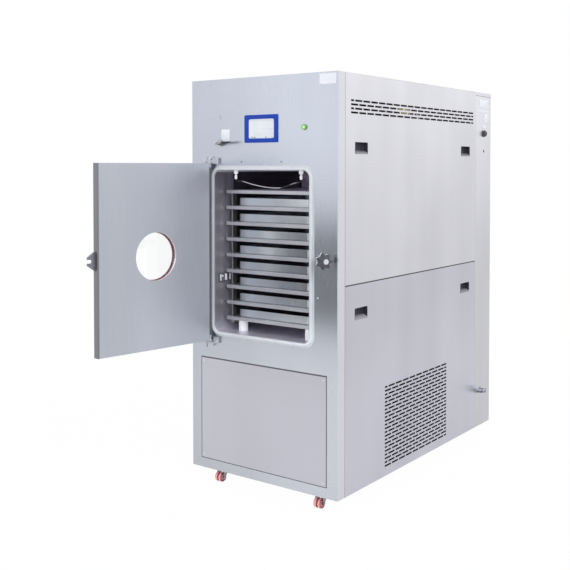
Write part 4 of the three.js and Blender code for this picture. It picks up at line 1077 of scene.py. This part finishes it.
def hexagon_head(centre, axis, across, height):
    """A bolt head: six-sided, turned off at the rim, with a shallow dish in its face."""
    radius = across / math.sqrt(3)
    dish = height * 0.86
    sides = [(0, 0), (radius, 0), (radius, height * 0.8)]
    face = [(radius * 0.87, height), (radius * 0.6, height), (radius * 0.5, dish), (0, dish)]
    return np.concatenate([turned(sides, 48, centre, axis, six_sided), turned(face, 48, centre, axis)])


hinge_bolts = [hexagon_head(place(-244, -10.3, z), forward, 13, 1.9) for z in (1350, 576)]
gather("hinge_bolts", hinge_bolts, hinge_steel, "cabinet")


# ---- Door clamp ----
# A fork with a swing bolt pinned in it: the bolt swings in front of the latch lug and the knob is
# run down on it. The fork and the bolt are plated bright.

softened("clamp_fork", hinge_steel, edge=0.0005)
bolt_steel = satin_steel("bolt_steel", 0.74, 0.56, 0.22)
softened("swing_bolt", bolt_steel, "swing_bolt", edge=0.0004)


# ---- Clamp knob ----
# A seven-lobed black moulded star with a light cap pressed into its middle, on a bright steel disc
# that bears on the latch lug.

knob_joint = next(joint for joint in frame["joints"] if joint["name"] == "knob_turn")
knob_axis = np.array(knob_joint["axis"], float)
knob_pivot = np.array(place(295, -16, 954))
black_moulding = Finish("black_moulding")
leather = black_moulding.noise(650, detail=3)
black_moulding.coloured(leather, (0.035, 0.035, 0.045), (0.075, 0.075, 0.09))
black_moulding.polished(leather, 0.36, 0.55)
black_moulding.bump(leather, 0.00025)

lobes = 7
star_sides = 12 * lobes
star_rows = np.array([
    (8.0, 57.2, 0.0), (14.0, 57.0, 0.0), (22.0, 57.0, 0.1), (31.5, 57.2, 0.20),
    (33.8, 58.2, 0.22), (34.8, 60.0, 0.24), (35.0, 63.0, 0.27), (34.6, 66.0, 0.30),
    (33.2, 68.2, 0.31), (30.0, 69.8, 0.30), (26.0, 71.4, 0.26), (21.0, 73.4, 0.16),
    (16.5, 75.4, 0.05), (14.0, 76.6, 0.01), (12.4, 77.0, 0.0), (8.0, 76.6, 0.0),
])


def hollow(turn):
    """0 on the crown of each lobe and 1 midway between two, by a raised cosine of the angle."""
    return ((1 - np.cos(lobes * turn)) / 2) ** 0.7


def star_reach(turn):
    """Each row of the star shrinks in the hollows by its own share; the first row comes again at the end."""
    shares = np.append(star_rows[:, 2], star_rows[0, 2])
    return 1 - shares[:, None] * hollow(turn)


def disc_reach(turn):
    """The disc follows the star's lobes with one depth of hollow."""
    return 1 - 0.26 * hollow(turn)


star_section = [*star_rows[:, :2], star_rows[0, :2]]
star_skin = turned(star_section, star_sides, knob_pivot, knob_axis, star_reach)
star = gather("knob_star", [star_skin], black_moulding, "knob")
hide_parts("star_knob")
hub_skin = turned([(5, 54.4), (14, 54.4), (14, 57.4), (5, 57.4)], 40, knob_pivot, knob_axis)
gather("knob_hub", [hub_skin], black_moulding, "knob")

cap_grey = Finish("cap_moulding", Roughness=0.35)
cap_cloud = cap_grey.noise(200)
cap_grey.coloured(cap_cloud, (0.50, 0.50, 0.54), (0.64, 0.64, 0.68))
cap_section = [(0, 75.5), (10.5, 75.5), (10.5, 79.3), *arc((8.8, 79.3), 1.7, 0, 90, 5), (5, 81.0), (0, 81.0)]
cap_skin = turned(cap_section, 48, knob_pivot, knob_axis)
gather("knob_cap", [cap_skin], cap_grey, "knob")

disc_steel = chromed("disc_steel", 0.95, 0.85, 0.12, 0.2)
disc_section = [(5, 52), (34.2, 52), (35.4, 52.4), (34.8, 53.2), (32.6, 54.0), (28, 54.5), (5, 54.5), (5, 52)]
disc_skin = turned(disc_section, star_sides, knob_pivot, knob_axis, disc_reach)
gather("knob_disc", [disc_skin], disc_steel, "knob")


# ---- Touch panel ----
# A blue moulded bezel round a pale anti-glare screen. The screen carries plain tinted fields only:
# a darker band along its top, faint rules and a few small dark blocks along its foot.

bezel_blue = Finish("bezel_blue", Specular_IOR_Level=0.2)
bezel_cloud = bezel_blue.noise(30)
bezel_blue.coloured(bezel_cloud, (0.006, 0.042, 0.31), (0.010, 0.052, 0.43))
bezel_blue.polished(bezel_blue.noise(600), 0.34, 0.48)
bezel_blue.bump(bezel_blue.noise(900), 0.0001)
softened("touch_panel", bezel_blue, edge=0.001)

screen = Finish("screen_film")
screen_x, _, screen_z = in_body(screen)
rules = sum(within(screen_z, z, z + 1.2) for z in (1499, 1481, 1464))
blocks = sum(within(screen_x, x0, x1) for x0, x1 in ((-47, -40), (-34, -26), (27, 32), (60, 63)))
screen_tone = screen.mix(screen.noise(25), (0.60, 0.64, 0.70), (0.75, 0.785, 0.83))
screen_tone = screen.mix(within(screen_z, 1513.5, 1524.5) * 0.35, screen_tone, (0.42, 0.45, 0.48))
screen_tone = screen.mix(rules * within(screen_x, -48, 60) * 0.3, screen_tone, (0.45, 0.48, 0.5))
screen_tone = screen.mix(blocks * within(screen_z, 1444.5, 1449.5) * 0.85, screen_tone, (0.05, 0.06, 0.07))
screen.feed(Base_Color=screen_tone)
screen.polished(screen.noise(200), 0.25, 0.35)
flat_plate("screen_film", place(-60.8, -2.65, 1442.8), place(70.8, -2.65, 1523.2), 0.4, screen)


# ---- Push button ----
# A dark green bezel ring with a bright, faintly lit lens domed inside it.

button_middle = place(222.5, 0, 1484)
ring_green = Finish("button_ring", Roughness=0.35)
ring_grain = ring_green.noise(400)
ring_green.coloured(ring_grain, (0.16, 0.40, 0.10), (0.22, 0.48, 0.15))
stem = [(0, -23.2), (6, -23.2), (6, 2.8)]
bezel = [(11.5, 2.8), (11.5, 5.8), *arc((10.4, 5.8), 1.0, 0, 110, 5), (7.2, 6.2), (6.6, 5.4), (0, 5.4)]
stem_skin = turned(stem + bezel, 48, button_middle, forward)
button = gather("button_body", [stem_skin], ring_green, "button")
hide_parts("push_button")

lens_green = Finish("button_lens", Roughness=0.25, Emission_Strength=0.25)
lens_cloud = lens_green.noise(300)
lens_green.coloured(lens_cloud, (0.40, 0.78, 0.20), (0.50, 0.86, 0.28))
lens_green.feed(Emission_Color=lens_green.mix(lens_cloud, (0.30, 0.62, 0.14), (0.38, 0.72, 0.20)))
lens_section = [(6.4, 5.2), (6.4, 5.9), (5.0, 6.5), (2.5, 6.8), (0, 6.9)]
lens_skin = turned(lens_section, 40, button_middle, forward)
gather("button_lens", [lens_skin], lens_green, "button")


# ---- Air valve ----
# A small plug valve: a hexagon on the panel, a turned body with a short outlet and a dark blade
# lever. The lever is bead-blasted and lightens at both ends, where it is handled.

valve_steel = chromed("valve_steel", 0.66, 0.46, 0.24, 0.35)
softened("air_valve_body", valve_steel, edge=0.0006)
outlet_steel = satin_steel("outlet_steel", 0.86, 0.74, 0.2)
outlet_section = [(3.0, 20.0), (3.4, 21.4), (6.2, 21.4), (6.9, 20.6), (6.9, 18.4), (3.0, 18.4), (3.0, 20.0)]
outlet_skin = turned(outlet_section, 40, place(-215, -15.6, 1427), (-1, 0, 0))
gather("air_valve_outlet", [outlet_skin], outlet_steel, "cabinet")

lever_finish = Finish("lever_finish", Metallic=0.6, Roughness=0.45)
along_lever = in_body(lever_finish)[0]
blast = lever_finish.noise(900)
lever_dark = lever_finish.mix(blast, (0.02, 0.021, 0.03), (0.045, 0.047, 0.06))
lever_pale = lever_finish.mix(blast, (0.42, 0.43, 0.46), (0.56, 0.57, 0.60))
bare = lever_finish.fade(along_lever, -0.204, -0.182, 0.8, 0.0)
bare = bare + lever_finish.fade(along_lever, -0.146, -0.124, 0.0, 0.8)
lever_finish.coloured(bare, lever_dark, lever_pale)
lever_finish.bump(blast, 0.0001)
lever_rows = np.array([
    (-219.5, 1425.6, 0.0), (-219.5, 1425.6, 3.6), (-218.0, 1425.6, 5.6), (-214.5, 1425.7, 6.4),
    (-211.0, 1425.9, 5.6), (-207.0, 1426.0, 4.4), (-196.0, 1426.6, 4.1), (-178.0, 1427.4, 4.1),
    (-160.0, 1428.3, 3.8), (-144.0, 1429.1, 2.9), (-130.0, 1429.8, 1.3), (-123.0, 1430.1, 0.6),
    (-123.0, 1430.1, 0.0),
])
blade_middle = -29.3
blade_half = 2.6
lever_out, lever_up = squared_circle(24, 0.6).T
lever_skin = np.empty((len(lever_rows), len(lever_up), 3))
lever_skin[..., 0] = lever_rows[:, :1]
lever_skin[..., 1] = blade_middle + blade_half * np.minimum(1, lever_rows[:, 2:] / 2) * lever_out
lever_skin[..., 2] = lever_rows[:, 1:2] + lever_rows[:, 2:] * lever_up
blade = gather("air_valve_blade", [datum + MM * lever_skin], lever_finish, "air_lever")
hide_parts("air_valve_lever")


# ---- Pipework behind the vents ----
# A pale insulated pipe that crosses just inside the upper vents, with one yellow sleeve on it; it
# shows through a few of the slots.

# Painted light: the foam and its yellow sleeve glow faintly, so they show bright through the slots.
insulation = Finish("pipe_insulation", Roughness=0.7, Emission_Strength=0.35)
sleeve = within(in_body(insulation)[1], 566, 613)
foam = insulation.noise(300, detail=3)
pale_foam = insulation.mix(foam, (0.46, 0.46, 0.47), (0.62, 0.62, 0.63))
sleeved = insulation.mix(sleeve, pale_foam, (0.90, 0.80, 0.20))
insulation.feed(Base_Color=sleeved, Emission_Color=sleeved)
insulation.bump(foam, 0.0006)
pipe_x = 344
pipe_radius = 14
pipe_knots = [(566, 1576), (606, 1572), (650, 1569), (690, 1561), (716, 1548), (722, 1530)]
pipe_path = smooth_path([place(pipe_x, *knot) for knot in pipe_knots], 8)
pipe_skin = tube(pipe_path, MM * pipe_radius, 20)
gather("vent_pipe", [pipe_skin], insulation, "cabinet")


# ---- Drain valve ----
# A small chromed ball valve low on the service strip, with its hose barb turned outwards and a
# pressed steel lever.

drain_chrome = chromed("drain_chrome", 0.76, 0.58, 0.22, 0.26)
softened("drain_valve_body", drain_chrome, edge=0.0006)
softened("drain_valve_lever", drain_chrome, "drain_lever", edge=0.0006)


# ---- Mains gland ----
# A black cable gland with a flatted nut and a rounded dome, its bore empty.

outward = (1, 0, 0)
gland_low, gland_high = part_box("mains_gland")
gland_middle = np.array([gland_low.x, (gland_low.y + gland_high.y) / 2, (gland_low.z + gland_high.z) / 2])
nut_section = [(5, 0.0), (16.9, 0.0), (17.5, 0.7), (17.5, 6.3), (16.9, 7.0), (13.6, 7.0)]
dome = [(13.4, 7.2), (13.0, 9.4), *arc((9.0, 10.2), 4.2, 12, 80, 6)]
bore = [(7.4, 14.7), (5.4, 14.5), (5.0, 13.0), (5.0, 4.0), (0, 4.0)]
mains_skin = np.concatenate([
    turned(nut_section, 72, gland_middle, outward, milled(6, 0.035, power=2)),
    turned(dome + bore, 72, gland_middle, outward),
])
mains = gather("mains_gland_body", [mains_skin], black_moulding, "cabinet")
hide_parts("mains_gland")


# ---- Casters ----
# Zinc-plated swivel forks, each with a twin-rib red polyurethane wheel: two round crowns with a
# groove between them on one core, and a pale cap over the axle at either side.

fork_zinc = satin_steel("fork_zinc", 0.42, 0.27, 0.32)
crown_middle = 9.25
crown_half = 6.75
crown_radius = 21.0


def red_urethane(name, middle):
    """Cast urethane in deep red: a pale painted highlight runs round each crown, the groove between them and
    the rims stay deep red.
    """
    depth = (0.004, 0.001, 0.001)
    finish = Finish(name, Coat_Weight=0.5, Coat_Roughness=0.2, Subsurface_Weight=0.1, Subsurface_Radius=depth)
    wear = finish.noise(90, detail=3)
    off_middle = (finish.axes(finish.here())[0] - float(middle[0])).maths("ABSOLUTE")
    off_crown = (off_middle - MM * crown_middle).maths("ABSOLUTE")
    # Painted highlight: a pale band round each crown.
    crown_highlight = finish.fade(off_crown, 0.003, 0.0062, 1.0, 0.0)
    deep = finish.mix(wear, (0.52, 0.045, 0.05), (0.62, 0.075, 0.08))
    pale = finish.mix(wear, (0.97, 0.47, 0.47), (1.0, 0.62, 0.61))
    finish.coloured(crown_highlight, deep, pale)
    finish.polished(wear, 0.26, 0.42)
    return finish.bump(finish.noise(500), 0.0001)


hub_grey = Finish("hub_cap", Roughness=0.4)
hub_grain = hub_grey.noise(300)
hub_grey.coloured(hub_grain, (0.74, 0.76, 0.80), (0.84, 0.86, 0.89))

crown_share = np.linspace(-1, 1, 15)
crown_fall = 1.1 * crown_share**4 + 0.15 * crown_share**2
tread_crown = [*zip(crown_radius - crown_fall, crown_middle + crown_half * crown_share)]
tread_side = [(17.6, 16.0), (14.6, 15.2), (13.4, 13.4), (9.4, 13.2), (9.0, 16.6), (4.3, 16.8)]
half_tread = [(17.0, 0.0), (17.0, 2.2), *tread_crown, *tread_side]
tread_section = [(r, -x) for r, x in half_tread[::-1]] + half_tread[1:] + [(4.3, -16.8)]
cap_rows = [(4.4, 13.3), (9.6, 13.3), (9.6, 15.4), (8.4, 16.5), (6.9, 16.9), (4.4, 16.9), (4.4, 13.3)]
for corner in ("front_left", "front_right", "rear_left", "rear_right"):
    softened(f"fork_{corner}", fork_zinc, f"caster_{corner}", edge=0.0004)
    hub_middle = np.mean(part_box(f"wheel_{corner}"), axis=0)
    tread_skin = turned(tread_section, 64, hub_middle, outward)
    urethane = red_urethane(f"urethane_{corner}", hub_middle)
    tread = gather(f"tread_{corner}", [tread_skin], urethane, f"caster_wheel_{corner}")
    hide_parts(f"wheel_{corner}")
    caps = [turned(cap_rows, 40, hub_middle, (way, 0, 0)) for way in (1, -1)]
    gather(f"hub_caps_{corner}", caps, hub_grey, f"caster_wheel_{corner}")


# ---- Cold trap and plant ----
# Inside the rear of the cabinet: the stainless trap behind the chamber and, on its own bed low
# down, the compressor and the vacuum pump in one dark hammered paint.

trap_steel = brushed_sheet("trap_sheet", tone=0.9, grain="y", roughness=0.36)
dress("cold_trap", trap_steel)
hammer = Finish("plant_paint")
dimple = hammer.noise(160, detail=1)
hammer.coloured(hammer.noise(5), (0.045, 0.055, 0.075), (0.075, 0.085, 0.11))
hammer.polished(dimple, 0.35, 0.55)
hammer.bump(dimple, 0.0005)
dress("plant_unit", hammer)


# ---- Sizes ----
# The box of every mesh in the scene but the floor and the flag, hidden ones too, in metres.

low = np.full(3, np.inf)
high = -low
for piece in bpy.context.scene.objects:
    if piece.type == "MESH" and piece not in (floor, flag):
        skin = np.array([piece.matrix_world @ Vector(corner) for corner in piece.bound_box])
        low, high = np.minimum(low, skin.min(axis=0)), np.maximum(high, skin.max(axis=0))
